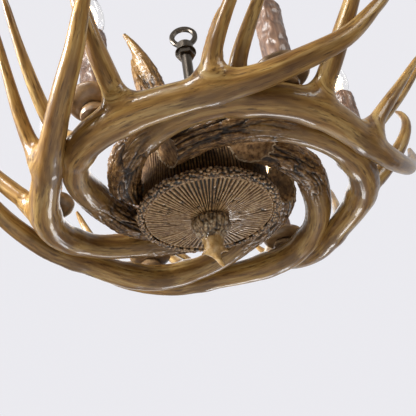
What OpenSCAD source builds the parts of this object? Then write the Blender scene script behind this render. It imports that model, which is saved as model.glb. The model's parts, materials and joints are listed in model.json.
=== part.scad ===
// Antler chandelier with six candle lights.
// Six antlers swirl round a burr hub, sixty degrees apart. Each carries a candle on a dish.
// Three crown antlers stand round the stem, and the fixture hangs from the loop on top.
// +Z is up. The origin is the middle of the hanging loop's eye.

/* [Hub] */
// How far the pebbled rim stands out from the drum
rim_w = 12; // [8:0.5:18]
// Height of the pebbled rim
rim_h = 17; // [12:1:20]
// Diameter of the drum over its ridges
drum_d = 176; // [168:1:182]
// Height of the drum
drum_h = 84; // [76:1:95]
// Thickness of the drum's wall under the ridges
drum_wall = 5; // [3:0.5:7]
// Depth of the ridges on the drum
ridge_depth = 2.6; // [1:0.1:4]
// Number of ridges round the drum
ridge_count = 84; // [60:1:96]
// Thickness of the grooved disc at its edge
disc_t = 4; // [3:0.5:6]
// How far the disc swells down at its middle
disc_dome = 8; // [4:1:12]
// Number of gills on the disc
gill_count = 64; // [48:1:72]
// Depth of the grooves between the gills
gill_depth = 2.4; // [1:0.1:3]
// Thickness of the cover plate on the drum
cover_t = 5; // [3:0.5:8]

/* [Finial] */
// Diameter of the burr knob
knob_d = 48; // [40:1:56]
// Height of the burr knob
knob_h = 32; // [26:1:38]
// Length of the spike under the knob
spike_l = 42; // [30:1:55]
// Diameter of the spike where it leaves the knob
spike_d = 22; // [16:1:26]

/* [Antlers] */
// Diameter of an antler at its sawn base
base_d = 44; // [40:1:44]
// Diameter of the beam under the candle
beam_d = 42; // [36:1:42]
// Height of the base's middle over the disc
base_z = 39; // [36:1:44]
// Height of the beam's middle under the candle
beam_z = 14; // [10:1:20]
// How far the longest tine reaches out past the ring of candles
tine_reach = 134; // [110:1:150]
// How far the tallest tine rises over the beam
tine_rise = 182; // [150:1:200]
// Diameter of a tine at its root
tine_d = 25; // [20:1:27]
// Diameter of a tine's rounded end
tine_tip_d = 7; // [5:0.5:9]

/* [Candles] */
// Diameter of the ring that the six candles stand on
candle_ring_d = 440; // [436:1:448]
// Diameter of the boss under a dish
boss_d = 36; // [32:1:40]
// Height of the dish's foot over the disc
dish_z = 44; // [38:1:52]
// Diameter of a dish
dish_d = 68; // [60:1:74]
// Height of a dish
dish_h = 13; // [9:1:18]
// Thickness of a dish
dish_t = 1.6; // [1:0.1:2.5]
// Diameter of a candle sleeve
sleeve_d = 35; // [30:1:38]
// Height of a candle sleeve
sleeve_h = 122; // [105:1:135]
// Wall of a candle sleeve
sleeve_wall = 2; // [1.5:0.1:3]
// Diameter of the lamp cap's bore in a socket
socket_bore_d = 12; // [11.8:0.1:12.4]
// Length of a socket
socket_l = 42; // [36:1:48]
// Greatest diameter of a bulb
bulb_d = 33; // [28:1:36]
// Height of the bulb's glass
bulb_h = 76; // [66:1:84]

/* [Stem] */
// Diameter of the stem tube
stem_d = 17; // [15:0.5:18]
// Height of the stem's top over the disc
stem_top = 318; // [300:1:340]
// Diameter of the hanging loop's eye
loop_eye_d = 30; // [24:1:34]
// Diameter of the hanging loop's bar
loop_bar_d = 8; // [6:0.5:9]
// Height of the crown antlers
crown_h = 250; // [220:5:270]
// Diameter of a crown antler at its base
crown_d = 38; // [32:1:42]
// Distance of the crown antlers from the stem's axis
crown_r = 46; // [44:1:52]
// How far a crown antler leans out at its tip
crown_lean = 52; // [40:1:60]

/* [Steel frame] */
// Diameter of the frame's plate
plate_d = 130; // [110:1:140]
// Thickness of the frame's plate
plate_t = 4; // [3:0.5:6]
// Diameter of an arm tube
arm_d = 13; // [10:0.5:15]
// Diameter of the finial's rod
rod_d = 8; // [6:0.5:9]

/* [Hidden] */
ANTLERS = [1:6];
CROWNS = [1:3];

// Clearances
touch = 0.1;   // between clamped pieces that meet
run_gap = 0.06; // radial, where a piece turns on another
stand_off = 0.4; // between turning pieces' faces

// Colours
bark = [0.27, 0.2, 0.13];
horn = [0.62, 0.47, 0.29];
horn_dark = [0.38, 0.28, 0.18];
steel = [0.55, 0.55, 0.56];
brass = [0.72, 0.58, 0.3];
wax_brown = [0.4, 0.24, 0.15];
glass_tint = [0.93, 0.93, 0.9, 0.35];

// Worked-out hub sizes
drum_r = drum_d / 2;
drum_in_r = drum_r - ridge_depth - drum_wall;
rim_z0 = -disc_t - 3;
plate_z = base_z - plate_t / 2;
rod_z0 = -disc_t - disc_dome - knob_h + 6;
cover_z = drum_h;
plate_top = plate_z + plate_t;
loop_r = (loop_eye_d + loop_bar_d) / 2;
collar_h = 16;
loop_z = stem_top + collar_h / 2 + loop_r;

// Antlers: angles run from +X towards +Y, seen from above
ANTLER_TURN = 60;
FIRST_ANGLE = -171;
CANDLE_PHASE = 110;
ARM_PHASE = 8;
BEAM_SIDES = 10;
TINE_SIDES = 8;
candle_r = candle_ring_d / 2;
base_r = drum_r + base_d / 2 - 3;
out_r = candle_r - 4;
base_w = base_d / 2;
beam_w = beam_d / 2;
seat_z = beam_z + beam_w - 4;
arm_end = base_r + 10;

// Worked-out candle sizes
post_d = 10;
post_bore = 7;
post_z0 = seat_z - 12;
sleeve_z = dish_z + dish_t;
sleeve_top = sleeve_z + sleeve_h;
socket_top = sleeve_top - 2;
socket_z = socket_top - socket_l;
socket_d = 20;
cap_r = socket_bore_d / 2 - run_gap;
cap_l = 22;
cap_depth = 20;
glass_z = socket_top - cap_depth + cap_l;
glass_t = 1;

// Worked-out stem sizes
stem_r = stem_d / 2;
stem_bore = stem_d - 4;
washer_t = 1.6;
nut_h = 8;
crown_z = cover_z + cover_t;
CROWN_FIRST = 180;
CROWN_BASE_ANGLE = -4;

// ---- Frames of reference ----

// From the disc's plane to the loop's eye
module hung() {
    translate([0, 0, -loop_z]) children();
}

module at_antler(i) {
    hung() rotate([0, 0, FIRST_ANGLE + ANTLER_TURN * (i - 1)]) children();
}

module at_candle(i) {
    at_antler(i) rotate([0, 0, CANDLE_PHASE]) translate([candle_r, 0, 0]) children();
}

module at_crown(i) {
    hung() rotate([0, 0, CROWN_FIRST + 120 * (i - 1)]) children();
}

module at_crown_base(i) {
    at_crown(i) rotate([0, 0, CROWN_BASE_ANGLE]) translate([crown_r, 0, 0]) children();
}

// ---- Swept horns ----

function polar(a, r, z) = [r * cos(a), r * sin(a), z];

function unit(v) = v / norm(v);

// Catmull-Rom value between knots b and c
function blend_knots(a, b, c, d, t) =
    0.5 * (2 * b + (c - a) * t + (2 * a - 5 * b + 4 * c - d) * t * t + (3 * b - a - 3 * c + d) * t * t * t);

// Each knot is [angle, radius, height, half width]; steps rings lie between two knots
function along(knots, steps) = [
    for (k = [0 : len(knots) - 2])
        for (s = [0 : (k == len(knots) - 2 ? steps : steps - 1)])
            blend_knots(
                knots[max(k - 1, 0)], knots[k], knots[k + 1], knots[min(k + 2, len(knots) - 1)], s / steps
            )
];

function bezier(p, t) =
    pow(1 - t, 3) * p[0] + 3 * pow(1 - t, 2) * t * p[1] + 3 * (1 - t) * t * t * p[2] + pow(t, 3) * p[3];

function heading(pts, i) = unit(pts[min(i + 1, len(pts) - 1)] - pts[max(i - 1, 0)]);

// One ring of a horn: deep is how far its flutes are cut, as a share of its half width
function horn_ring(p, dir, ref, w, sides, deep) =
    let (side = unit(cross(ref, dir)), up = cross(dir, side))
    [
        for (j = [0 : sides - 1])
            let (a = 360 * j / sides, rr = w * (1 - (j % 2) * deep))
            p + rr * cos(a) * side + rr * sin(a) * up
    ];

module horn(pts, widths, ref, sides, flutes) {
    n = len(pts);
    rings = [for (i = [0 : n - 1]) each horn_ring(pts[i], heading(pts, i), ref, widths[i], sides, flutes[i])];
    walls = [
        for (i = [0 : n - 2])
            for (j = [0 : sides - 1])
                let (k = (j + 1) % sides, a = i * sides, b = (i + 1) * sides)
                each [[a + j, b + k, a + k], [a + j, b + j, b + k]]
    ];
    foot = [for (j = [1 : sides - 2]) [0, j, j + 1]];
    last = (n - 1) * sides;
    tip = [for (j = [1 : sides - 2]) [last, last + j + 1, last + j]];
    polyhedron(points = rings, faces = concat(walls, foot, tip), convexity = 6);
}

// A tine from four control points given as [angle, radius, height]
module tine(ctrl, root_w) {
    p = [for (c = ctrl) polar(c[0], c[1], c[2])];
    pts = [for (t = [0 : 0.125 : 1]) bezier(p, t)];
    tip_w = tine_tip_d / 2;
    widths = [for (t = [0 : 0.125 : 1]) t == 1 ? tip_w * 0.45 : tip_w + (root_w - tip_w) * pow(1 - t, 0.8)];
    flutes = [for (t = [0 : 0.125 : 1]) 0];
    mid = polar(ctrl[0][0] + 90, 1, 0);
    horn(pts, widths, mid, TINE_SIDES, flutes);
}

// A point past the candle's seat: out and up are shares of the tines' reach and rise
function past(a, out, up) = [a, out_r + out * tine_reach, beam_z + up * tine_rise];

function inward(share) = base_r + share * (out_r - base_r);

// The beam swirls out from the drum, dips under the candle and turns up at its tip
BEAM = [
    [0, inward(0), base_z, base_w],
    [28, inward(0.17), base_z, base_w],
    [60, inward(0.44), base_z, (2 * base_w + beam_w) / 3],
    [88, inward(0.8), (base_z + 2 * beam_z) / 3, beam_w * 0.86],
    [110, out_r, beam_z, beam_w],
    concat(past(140, 0.04, 0), beam_w * 0.87),
    concat(past(160, 0.24, 0.01), beam_w * 0.7),
    concat(past(176, 0.57, 0.17), beam_w * 0.56),
    concat(past(184, 0.84, 0.43), beam_w * 0.36),
    concat(past(188, 0.97, 0.62), beam_w * 0.17)
];
// Control points of the tines, from the beam's middle outwards
TINE_BACK = [past(97, -0.1, 0.02), past(90, 0.09, 0.15), past(99, 0.45, 0.36), past(104, 0.9, 0.88)];
TINE_SIDE = [past(120, 0, 0), past(121, 0.49, 0.28), past(119, 1, 0.69), past(126, 0.91, 1)];
TINE_FRONT = [past(147, 0.08, 0), past(145, 0.26, 0.13), past(151, 0.45, 0.34), past(159, 0.88, 0.84)];

module antler(i) {
    path = along(BEAM, 3);
    pts = [for (k = path) polar(k[0], k[1], k[2])];
    widths = [for (k = path) k[3]];
    flutes = [for (k = path) 0.1 * max(0, 1 - k[0] / 90)];
    color(horn)
        difference() {
            at_antler(i)
                union() {
                    horn(pts, widths, [0, 0, 1], BEAM_SIDES, flutes);
                    tine(TINE_BACK, tine_d / 2);
                    tine(TINE_SIDE, tine_d * 0.58);
                    tine(TINE_FRONT, tine_d / 2);
                }
            // Seat against the drum
            hung() cylinder(h = drum_h, r = drum_r + touch, $fn = 96);
            // Socket for the arm tube
            at_arm(i) cylinder(h = arm_end + touch, d = arm_d + 2 * touch, $fn = 48);
            // Hole and counterbore for the set screw
            at_screw(i) cylinder(h = base_w + 10, d = screw_d + 2 * touch, $fn = 24);
            at_screw(i) translate([0, 0, screw_seat]) cylinder(h = 20, d = screw_head_d + 1, $fn = 32);
            // Flat for the boss and hole for the candle's post
            at_candle(i) translate([0, 0, seat_z]) cylinder(h = 16, d = boss_d + 1, $fn = 64);
            at_candle(i) translate([0, 0, post_z0]) cylinder(h = 20, d = post_d + 2 * touch, $fn = 48);
        }
}

// ---- Steel frame ----

screw_d = 5;
screw_head_d = 9;
screw_head_h = 3.5;
screw_seat = base_w - 5;

module at_arm(i) {
    at_antler(i) rotate([0, 0, ARM_PHASE]) translate([0, 0, base_z]) rotate([0, 90, 0]) children();
}

module at_screw(i) {
    at_antler(i) rotate([0, 0, ARM_PHASE]) translate([base_r, 0, base_z]) children();
}

FRAME_HUB_D = 30;
FRAME_HUB_H = 14;

module steel_frame() {
    color(steel)
        difference() {
            union() {
                hung() translate([0, 0, plate_z]) cylinder(h = plate_t, d = plate_d, $fn = 96);
                hung() translate([0, 0, base_z - FRAME_HUB_H])
                    cylinder(h = 2 * FRAME_HUB_H, d = FRAME_HUB_D, $fn = 64);
                for (i = ANTLERS)
                    at_arm(i) translate([0, 0, 40]) cylinder(h = arm_end - 40, d = arm_d, $fn = 48);
            }
            for (i = ANTLERS)
                at_arm(i) translate([0, 0, 36]) cylinder(h = arm_end, d = arm_d - 3, $fn = 48);
            hung() translate([0, 0, base_z]) cylinder(h = 40, d = stem_d + 2 * touch, $fn = 64);
            hung() translate([0, 0, base_z - 40]) cylinder(h = 41, d = rod_d + 2 * touch, $fn = 48);
        }
}

module finial_rod() {
    color(steel)
        hung() translate([0, 0, rod_z0]) cylinder(h = base_z - rod_z0, d = rod_d, $fn = 48);
}

module antler_screws() {
    color(steel)
        for (i = ANTLERS)
            at_screw(i) {
                translate([0, 0, arm_d / 2]) cylinder(h = screw_seat - arm_d / 2 + 1, d = screw_d, $fn = 24);
                translate([0, 0, screw_seat]) cylinder(h = screw_head_h, d = screw_head_d, $fn = 32);
            }
}

CONNECTORS = 3;
CONNECTOR_R = 38;
CONNECTOR_ANGLE = FIRST_ANGLE + ARM_PHASE + ANTLER_TURN / 2;

module wire_connectors() {
    color("ivory")
        for (k = [0 : CONNECTORS - 1])
            hung() rotate([0, 0, 120 * k + CONNECTOR_ANGLE]) translate([CONNECTOR_R, 0, plate_top])
                cylinder(h = 22, r1 = 6, r2 = 4, $fn = 32);
}

// ---- Hub ----

function ridge_outline() = [
    for (k = [0 : 2 * ridge_count - 1])
        let (a = 180 * k / ridge_count, r = drum_r - (k % 2) * ridge_depth)
        [r * cos(a), r * sin(a)]
];

module hub_shell() {
    color(bark)
        difference() {
            hung() linear_extrude(height = drum_h) polygon(ridge_outline());
            hung() translate([0, 0, -1]) cylinder(h = drum_h + 2, r = drum_in_r, $fn = 96);
            for (i = ANTLERS)
                at_arm(i) cylinder(h = drum_r + 10, d = arm_d + 2 * touch, $fn = 48);
        }
}

// The rim is a fat ring covered in pebbles
RIM_STEPS = 72;
RIM_SIDES = 8;

function pebble(a, b) = 1.6 * sin(a * 19 + b * 2) * cos(b * 3 + a * 5) + 0.8 * sin(a * 31 - b);

module hub_rim() {
    rim_r = drum_r + rim_w;
    bar_w = rim_w + ridge_depth;
    mid_r = rim_r - bar_w / 2;
    pts = [
        for (k = [0 : RIM_STEPS - 1])
            for (j = [0 : RIM_SIDES - 1])
                let (a = 360 * k / RIM_STEPS, b = 360 * j / RIM_SIDES, bump = pebble(a, b))
                let (r = mid_r + (bar_w / 2 - 1.5 + bump) * cos(b), z = (rim_h / 2 - 1.5 + bump) * sin(b))
                polar(a, min(r, rim_r), rim_z0 + rim_h / 2 + z)
    ];
    faces = [
        for (k = [0 : RIM_STEPS - 1])
            for (j = [0 : RIM_SIDES - 1])
                let (m = (k + 1) % RIM_STEPS, l = (j + 1) % RIM_SIDES)
                each [
                    [k * RIM_SIDES + j, k * RIM_SIDES + l, m * RIM_SIDES + l],
                    [k * RIM_SIDES + j, m * RIM_SIDES + l, m * RIM_SIDES + j]
                ]
    ];
    color(bark)
        difference() {
            hung() polyhedron(points = pts, faces = faces, convexity = 6);
            hung() translate([0, 0, -30]) cylinder(h = 60, r = drum_r + touch, $fn = 96);
        }
}

// The disc's underside: gills run from its edge to its middle and it swells downwards
DISC_RINGS = [0.2, 0.5, 0.8, 0.96, 1];

function disc_low(f, valley) = -disc_t - disc_dome * (1 - f * f) + (valley ? gill_depth * min(1, (1 - f) * 12) : 0);

module hub_disc() {
    n = 2 * gill_count;
    m = len(DISC_RINGS);
    low = [
        for (k = [0 : n - 1])
            for (f = DISC_RINGS)
                polar(360 * k / n, drum_r * f, disc_low(f, k % 2 == 1))
    ];
    top = [for (k = [0 : n - 1]) polar(360 * k / n, drum_r, -touch)];
    pts = concat(low, top, [[0, 0, disc_low(0, false)], [0, 0, -touch]]);
    low_mid = n * m + n;
    top_mid = low_mid + 1;
    faces = [
        for (k = [0 : n - 1])
            let (l = (k + 1) % n)
            each concat(
                [
                    for (j = [0 : m - 2])
                        each [
                            [k * m + j, k * m + j + 1, l * m + j + 1],
                            [k * m + j, l * m + j + 1, l * m + j]
                        ]
                ],
                [
                    [low_mid, k * m, l * m],
                    [top_mid, n * m + l, n * m + k],
                    [k * m + m - 1, n * m + k, n * m + l],
                    [k * m + m - 1, n * m + l, l * m + m - 1]
                ]
            )
    ];
    color(horn_dark)
        difference() {
            hung() polyhedron(points = pts, faces = faces, convexity = 6);
            hung() translate([0, 0, -40]) cylinder(h = 80, d = rod_d + 1, $fn = 48);
        }
}

module hub_cover() {
    color(bark)
        difference() {
            hung() translate([0, 0, cover_z])
                rotate_extrude($fn = 96)
                    polygon([
                        [stem_r + touch, 0], [drum_r + 3, 0], [drum_r + 3, cover_t * 0.5],
                        [drum_r, cover_t], [stem_r + touch, cover_t]
                    ]);
            for (i = CROWNS)
                at_crown_base(i) translate([0, 0, cover_z - 1])
                    cylinder(h = cover_t + 2, d = screw_d + 2 * touch, $fn = 24);
        }
}

module finial() {
    knob_r = knob_d / 2;
    top = -disc_t - disc_dome - stand_off;
    low = -knob_h;
    outline = [
        [0, 0], [knob_r * 0.9, 0], [knob_r, -3], [knob_r * 0.98, -7],
        [knob_r * 0.9, -knob_h * 0.45], [knob_r * 0.7, -knob_h * 0.75], [spike_d / 2, low],
        [spike_d * 0.32, low - spike_l * 0.3], [spike_d * 0.22, low - spike_l * 0.7],
        [spike_d * 0.16, low - spike_l * 0.94], [0, low - spike_l]
    ];
    color(bark)
        hung() translate([0, 0, top])
            difference() {
                rotate_extrude($fn = 64) polygon(outline);
                translate([0, 0, low + 4]) cylinder(h = knob_h, d = rod_d + 2 * run_gap, $fn = 64);
            }
}

// ---- Stem and loop ----

module stem_tube() {
    color(steel)
        hung() translate([0, 0, base_z])
            difference() {
                cylinder(h = stem_top - base_z, d = stem_d, $fn = 64);
                translate([0, 0, -1]) cylinder(h = stem_top, d = stem_bore, $fn = 64);
            }
}

module nut(z) {
    translate([0, 0, z])
        difference() {
            cylinder(h = nut_h, d = 30, $fn = 6);
            translate([0, 0, -1]) cylinder(h = nut_h + 2, d = stem_d + 2 * touch, $fn = 64);
        }
}

module washer(z) {
    translate([0, 0, z])
        difference() {
            cylinder(h = washer_t, d = 34, $fn = 64);
            translate([0, 0, -1]) cylinder(h = washer_t + 2, d = stem_d + 2 * touch, $fn = 64);
        }
}

collar_z = stem_top - collar_h / 2;

module stem_nuts() {
    color(steel)
        hung() {
            nut(crown_z + washer_t);
            nut(collar_z - washer_t - nut_h);
        }
}

module stem_washers() {
    color(steel)
        hung() {
            washer(crown_z);
            washer(collar_z - washer_t);
        }
}

module hanging_loop() {
    eye_r = loop_eye_d / 2;
    b = loop_bar_d;
    color(steel)
        difference() {
            union() {
                hung() translate([0, 0, collar_z]) cylinder(h = collar_h, d = stem_d + 10, $fn = 64);
                rotate([90, 0, 0])
                    rotate_extrude($fn = 64)
                        polygon([
                            [eye_r, -b * 0.3], [eye_r + b * 0.2, -b / 2], [eye_r + b * 0.8, -b / 2],
                            [eye_r + b, -b * 0.25], [eye_r + b, b * 0.25], [eye_r + b * 0.8, b / 2],
                            [eye_r + b * 0.2, b / 2], [eye_r, b * 0.3]
                        ]);
            }
            hung() translate([0, 0, collar_z - 1]) cylinder(h = collar_h / 2 + 1, d = stem_d + 2 * touch, $fn = 64);
        }
}

// Crown antlers stand on the cover and lean out as they rise
function crown_knots() = [
    [CROWN_BASE_ANGLE, crown_r, 0, crown_d / 2],
    [0, crown_r + crown_lean * 0.02, crown_h * 0.2, crown_d * 0.47],
    [6, crown_r + crown_lean * 0.04, crown_h * 0.45, crown_d * 0.4],
    [12, crown_r + crown_lean * 0.27, crown_h * 0.7, crown_d * 0.32],
    [16, crown_r + crown_lean * 0.7, crown_h * 0.9, crown_d * 0.21],
    [18, crown_r + crown_lean, crown_h, crown_d * 0.08]
];

module crown_antler(i) {
    path = along(crown_knots(), 3);
    pts = [for (k = path) polar(k[0], k[1], k[2])];
    widths = [for (k = path) k[3]];
    flutes = [for (k = path) 0.1 * max(0, 1 - k[2] / crown_h * 1.4)];
    color(bark)
        difference() {
            at_crown(i) translate([0, 0, crown_z])
                union() {
                    horn(pts, widths, [0, 1, 0], BEAM_SIDES, flutes);
                    tine(
                        [
                            [4, crown_r, crown_h * 0.36], [8, crown_r + crown_lean * 0.5, crown_h * 0.45],
                            [10, crown_r + crown_lean * 0.7, crown_h * 0.62],
                            [6, crown_r + crown_lean * 0.77, crown_h * 0.84]
                        ],
                        tine_d * 0.42
                    );
                }
            hung() cylinder(h = crown_z, r = drum_r + rim_w);
            at_crown_base(i) translate([0, 0, crown_z - 1])
                cylinder(h = 22, d = screw_d + 2 * touch, $fn = 24);
        }
}

module crown_screws() {
    color(steel)
        for (i = CROWNS)
            at_crown_base(i) {
                translate([0, 0, cover_z - screw_head_h]) cylinder(h = screw_head_h, d = screw_head_d, $fn = 32);
                translate([0, 0, cover_z - 1]) cylinder(h = cover_t + 20, d = screw_d, $fn = 24);
            }
}

// ---- Candles ----

module candle_bosses() {
    r = boss_d / 2;
    h = dish_z - seat_z;
    color(horn_dark)
        for (i = ANTLERS)
            at_candle(i) translate([0, 0, seat_z])
                rotate_extrude($fn = 64)
                    polygon([
                        [post_d / 2 + touch, 0], [r * 0.94, 0], [r, h * 0.3], [r * 0.9, h * 0.8],
                        [r * 0.8, h], [post_d / 2 + touch, h]
                    ]);
}

module candle_posts() {
    color(brass)
        for (i = ANTLERS)
            at_candle(i)
                difference() {
                    union() {
                        translate([0, 0, post_z0]) cylinder(h = socket_z + 6 - post_z0, d = post_d, $fn = 48);
                        translate([0, 0, sleeve_z]) cylinder(h = 5, d = 18, $fn = 6);
                    }
                    translate([0, 0, post_z0 - 1]) cylinder(h = socket_z + 20, d = post_bore, $fn = 48);
                }
}

module candle_dish(i) {
    r = dish_d / 2;
    foot = sleeve_d / 2 + 3;
    t = dish_t;
    color(horn_dark)
        at_candle(i) translate([0, 0, dish_z])
            rotate_extrude($fn = 96)
                polygon([
                    [post_d / 2 + touch, 0], [foot, 0], [r * 0.82, dish_h * 0.35], [r, dish_h],
                    [r - t, dish_h], [r * 0.82 - t, dish_h * 0.35 + t], [foot - t / 2, t],
                    [post_d / 2 + touch, t]
                ]);
}

module candle_sleeve(i) {
    r = sleeve_d / 2;
    in_r = r - sleeve_wall;
    color(wax_brown)
        at_candle(i) translate([0, 0, sleeve_z + touch])
            rotate_extrude($fn = 64)
                polygon([
                    [in_r, 0], [r * 0.97, 0], [r, 3], [r, sleeve_h * 0.84], [r * 1.07, sleeve_h * 0.9],
                    [r * 1.05, sleeve_h * 0.96], [r * 0.93, sleeve_h - touch], [in_r, sleeve_h - touch]
                ]);
}

module lamp_sockets() {
    color("whitesmoke")
        for (i = ANTLERS)
            at_candle(i)
                difference() {
                    translate([0, 0, socket_z]) cylinder(h = socket_l, d = socket_d, $fn = 64);
                    translate([0, 0, socket_top - cap_depth - stand_off])
                        cylinder(h = socket_l, d = socket_bore_d, $fn = 64);
                    translate([0, 0, socket_z - 1]) cylinder(h = 7 + touch, d = post_d + 2 * touch, $fn = 48);
                }
}

BULB_NECK = 0.52;

module bulb_cap(i) {
    color(brass)
        at_candle(i) translate([0, 0, socket_top - cap_depth])
            union() {
                translate([0, 0, 2]) cylinder(h = cap_l - 2, r = cap_r, $fn = 64);
                cylinder(h = 2.5, r = cap_r * 0.45, $fn = 32);
                // Skirt that the glass stands in
                translate([0, 0, cap_depth + stand_off])
                    cylinder(h = cap_l - cap_depth - stand_off, r = bulb_d / 2 * BULB_NECK, $fn = 64);
            }
}

BULB_OUTLINE = [
    [BULB_NECK, 0], [0.62, 0.06], [0.86, 0.17], [0.97, 0.27], [1, 0.36], [0.97, 0.47],
    [0.87, 0.6], [0.7, 0.73], [0.48, 0.85], [0.25, 0.95], [0.1, 0.99]
];

// One solid of revolution under the glass outline, set in by t
module bulb_body(t) {
    r = bulb_d / 2;
    side = [for (p = BULB_OUTLINE) [p[0] * r - t, p[1] * bulb_h]];
    rotate_extrude($fn = 64)
        polygon(concat([[0, 0]], side, [[0, bulb_h - t * 1.2]]));
}

module bulb_glass(i) {
    color(glass_tint)
        at_candle(i) translate([0, 0, glass_z])
            difference() {
                bulb_body(0);
                bulb_body(glass_t);
            }
}

FILAMENT_Z = 30;

module bulb_filament(i) {
    color("silver")
        at_candle(i) translate([0, 0, glass_z])
            union() {
                cylinder(h = 14, r1 = 4, r2 = 2, $fn = 32);
                for (s = [-1, 1]) translate([s * 1.2, 0, 10]) cylinder(h = FILAMENT_Z - 8, r = 0.5, $fn = 16);
                translate([-1.8, 0, FILAMENT_Z + 1.6]) rotate([0, 90, 0]) cylinder(h = 3.6, r = 0.9, $fn = 16);
            }
}

hub_shell();
hub_rim();
hub_disc();
hub_cover();
steel_frame();
finial_rod();
finial();
stem_tube();
stem_nuts();
stem_washers();
hanging_loop();
wire_connectors();
antler_screws();
crown_screws();
candle_bosses();
candle_posts();
lamp_sockets();
for (i = ANTLERS) antler(i);
for (i = CROWNS) crown_antler(i);
for (i = ANTLERS) candle_dish(i);
for (i = ANTLERS) candle_sleeve(i);
for (i = ANTLERS) bulb_glass(i);
for (i = ANTLERS) bulb_cap(i);
for (i = ANTLERS) bulb_filament(i);
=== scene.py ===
# %% [markdown]
# # An antler chandelier, dressed for the camera
# Six cast antlers swirl out from a burr-like hub, each with a candle light on a dish.
# The fixture's solids come in as a fixed frame: they say where everything is and what turns.
# The cells below put detailed pieces over the plain ones and give every surface its finish.

import json
import math
import bpy
import numpy as np
from mathutils import Matrix, Vector, kdtree

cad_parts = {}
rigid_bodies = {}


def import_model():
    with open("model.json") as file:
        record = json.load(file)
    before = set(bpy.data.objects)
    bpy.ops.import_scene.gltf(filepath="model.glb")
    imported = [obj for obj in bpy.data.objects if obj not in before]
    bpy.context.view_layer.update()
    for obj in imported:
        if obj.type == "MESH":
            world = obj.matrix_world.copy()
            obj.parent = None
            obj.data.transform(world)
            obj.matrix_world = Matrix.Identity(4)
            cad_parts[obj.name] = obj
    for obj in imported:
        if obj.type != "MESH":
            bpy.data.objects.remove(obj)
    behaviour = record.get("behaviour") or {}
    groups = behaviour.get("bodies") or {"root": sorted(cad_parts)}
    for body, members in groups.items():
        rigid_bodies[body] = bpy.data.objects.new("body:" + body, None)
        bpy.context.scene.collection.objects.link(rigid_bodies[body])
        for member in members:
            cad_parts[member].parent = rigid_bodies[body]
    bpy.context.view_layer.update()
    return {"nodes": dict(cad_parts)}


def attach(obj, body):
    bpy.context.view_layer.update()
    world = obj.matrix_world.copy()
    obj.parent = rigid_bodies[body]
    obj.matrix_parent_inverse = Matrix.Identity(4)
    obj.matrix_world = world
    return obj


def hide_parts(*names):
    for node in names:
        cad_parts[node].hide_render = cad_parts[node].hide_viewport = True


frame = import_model()
nodes = frame["nodes"]

# %% [markdown]
# ## The camera
# The fixture is seen from below and a little turned, as by someone who stands under it.
# The camera comes first, because lights and backdrop are judged through it. It could be aimed
# with three angles. A matrix is used instead, so that the small roll about the line of sight is
# exact: its columns are the picture's right, the picture's up, the way back and the place.

# %% Camera
DISC_Z = -0.345
LOOK_UP = math.radians(32.86)
ROLL = math.radians(8.39)
LENS_MM = 57.98
FILM_MM = 36
CAMERA_PLACE = Vector((-0.0008, -0.7697, DISC_Z - 0.4885))
level_right = Vector((1, 0, 0))
level_up = Vector((0, -math.sin(LOOK_UP), math.cos(LOOK_UP)))
ahead = Vector((0, math.cos(LOOK_UP), math.sin(LOOK_UP)))
picture_right = level_right * math.cos(ROLL) - level_up * math.sin(ROLL)
picture_up = level_right * math.sin(ROLL) + level_up * math.cos(ROLL)
columns = (picture_right, picture_up, -ahead, CAMERA_PLACE)
camera_data = bpy.data.cameras.new("camera")
camera_data.lens = LENS_MM
camera_data.sensor_width = FILM_MM
camera = bpy.data.objects.new("camera", camera_data)
camera.matrix_world = Matrix([[c[k] for c in columns] for k in range(3)] + [[0, 0, 0, 1]])
bpy.context.scene.collection.objects.link(camera)
bpy.context.scene.camera = camera
print("camera at", CAMERA_PLACE)

# %% [markdown]
# ## Plain colours
# The view transform decides which colour on the screen a light value becomes. The usual one holds
# bright areas back, as film does. Standard is used here, because it shows a colour about as it is
# written in a finish, so a finish can be judged by its numbers.

# %% View transform
view_settings = bpy.context.scene.view_settings
view_settings.view_transform = "Standard"
print("view transform:", view_settings.view_transform)

# %% [markdown]
# ## Nodes in few words
# Floor, sky and every finish are made of nodes. They could be wired one by one in the shader
# editor. Here each common step, such as noise, a colour ramp or a mix, gets a short function, so
# that a finish further down reads like a recipe. `owner` is the material or world that is wired.

# %% Node helpers
def add(owner, kind, **values):
    n = owner.node_tree.nodes.new("ShaderNode" + kind)
    for k, v in values.items():
        setattr(n, k, v)
    return n


def join(owner, a, b):
    owner.node_tree.links.new(a, b)


def new_finish(name, roughness, coat=0.0, metal=0.0):
    mat = bpy.data.materials.new(name)
    mat.use_nodes = True
    shader = shader_of(mat)
    shader.inputs["Roughness"].default_value = roughness
    shader.inputs["Coat Weight"].default_value = coat
    shader.inputs["Coat Roughness"].default_value = 0.1
    shader.inputs["Metallic"].default_value = metal
    return mat


def shader_of(mat):
    return mat.node_tree.nodes["Principled BSDF"]


def feed(mat, socket, value):
    """Gives the shader's socket what a node puts out."""
    join(mat, value, shader_of(mat).inputs[socket])


def fix(mat, socket, value):
    """Gives the shader's socket one value for the whole piece."""
    shader_of(mat).inputs[socket].default_value = value


print("node helpers ready")

# %% [markdown]
# ## Ranges, mixes and rays
# Three steps serve floor, sky and finishes alike. One stretches a range of values to another, one
# mixes two shaders, and one tells the camera's own rays from those that only carry light. That
# last one could be a switch on each object, but as a node it can also be used in part.

# %% Range, mix and ray helpers
def scaled(owner, fac, low, high, to_low, to_high):
    n = add(owner, "MapRange")
    for k, v in (("From Min", low), ("From Max", high), ("To Min", to_low), ("To Max", to_high)):
        n.inputs[k].default_value = v
    join(owner, fac, n.inputs["Value"])
    return n.outputs["Result"]


def two_shaders(owner, fac, a, b):
    n = add(owner, "MixShader")
    join(owner, fac, n.inputs[0])
    join(owner, a, n.inputs[1])
    join(owner, b, n.inputs[2])
    return n.outputs[0]


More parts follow.
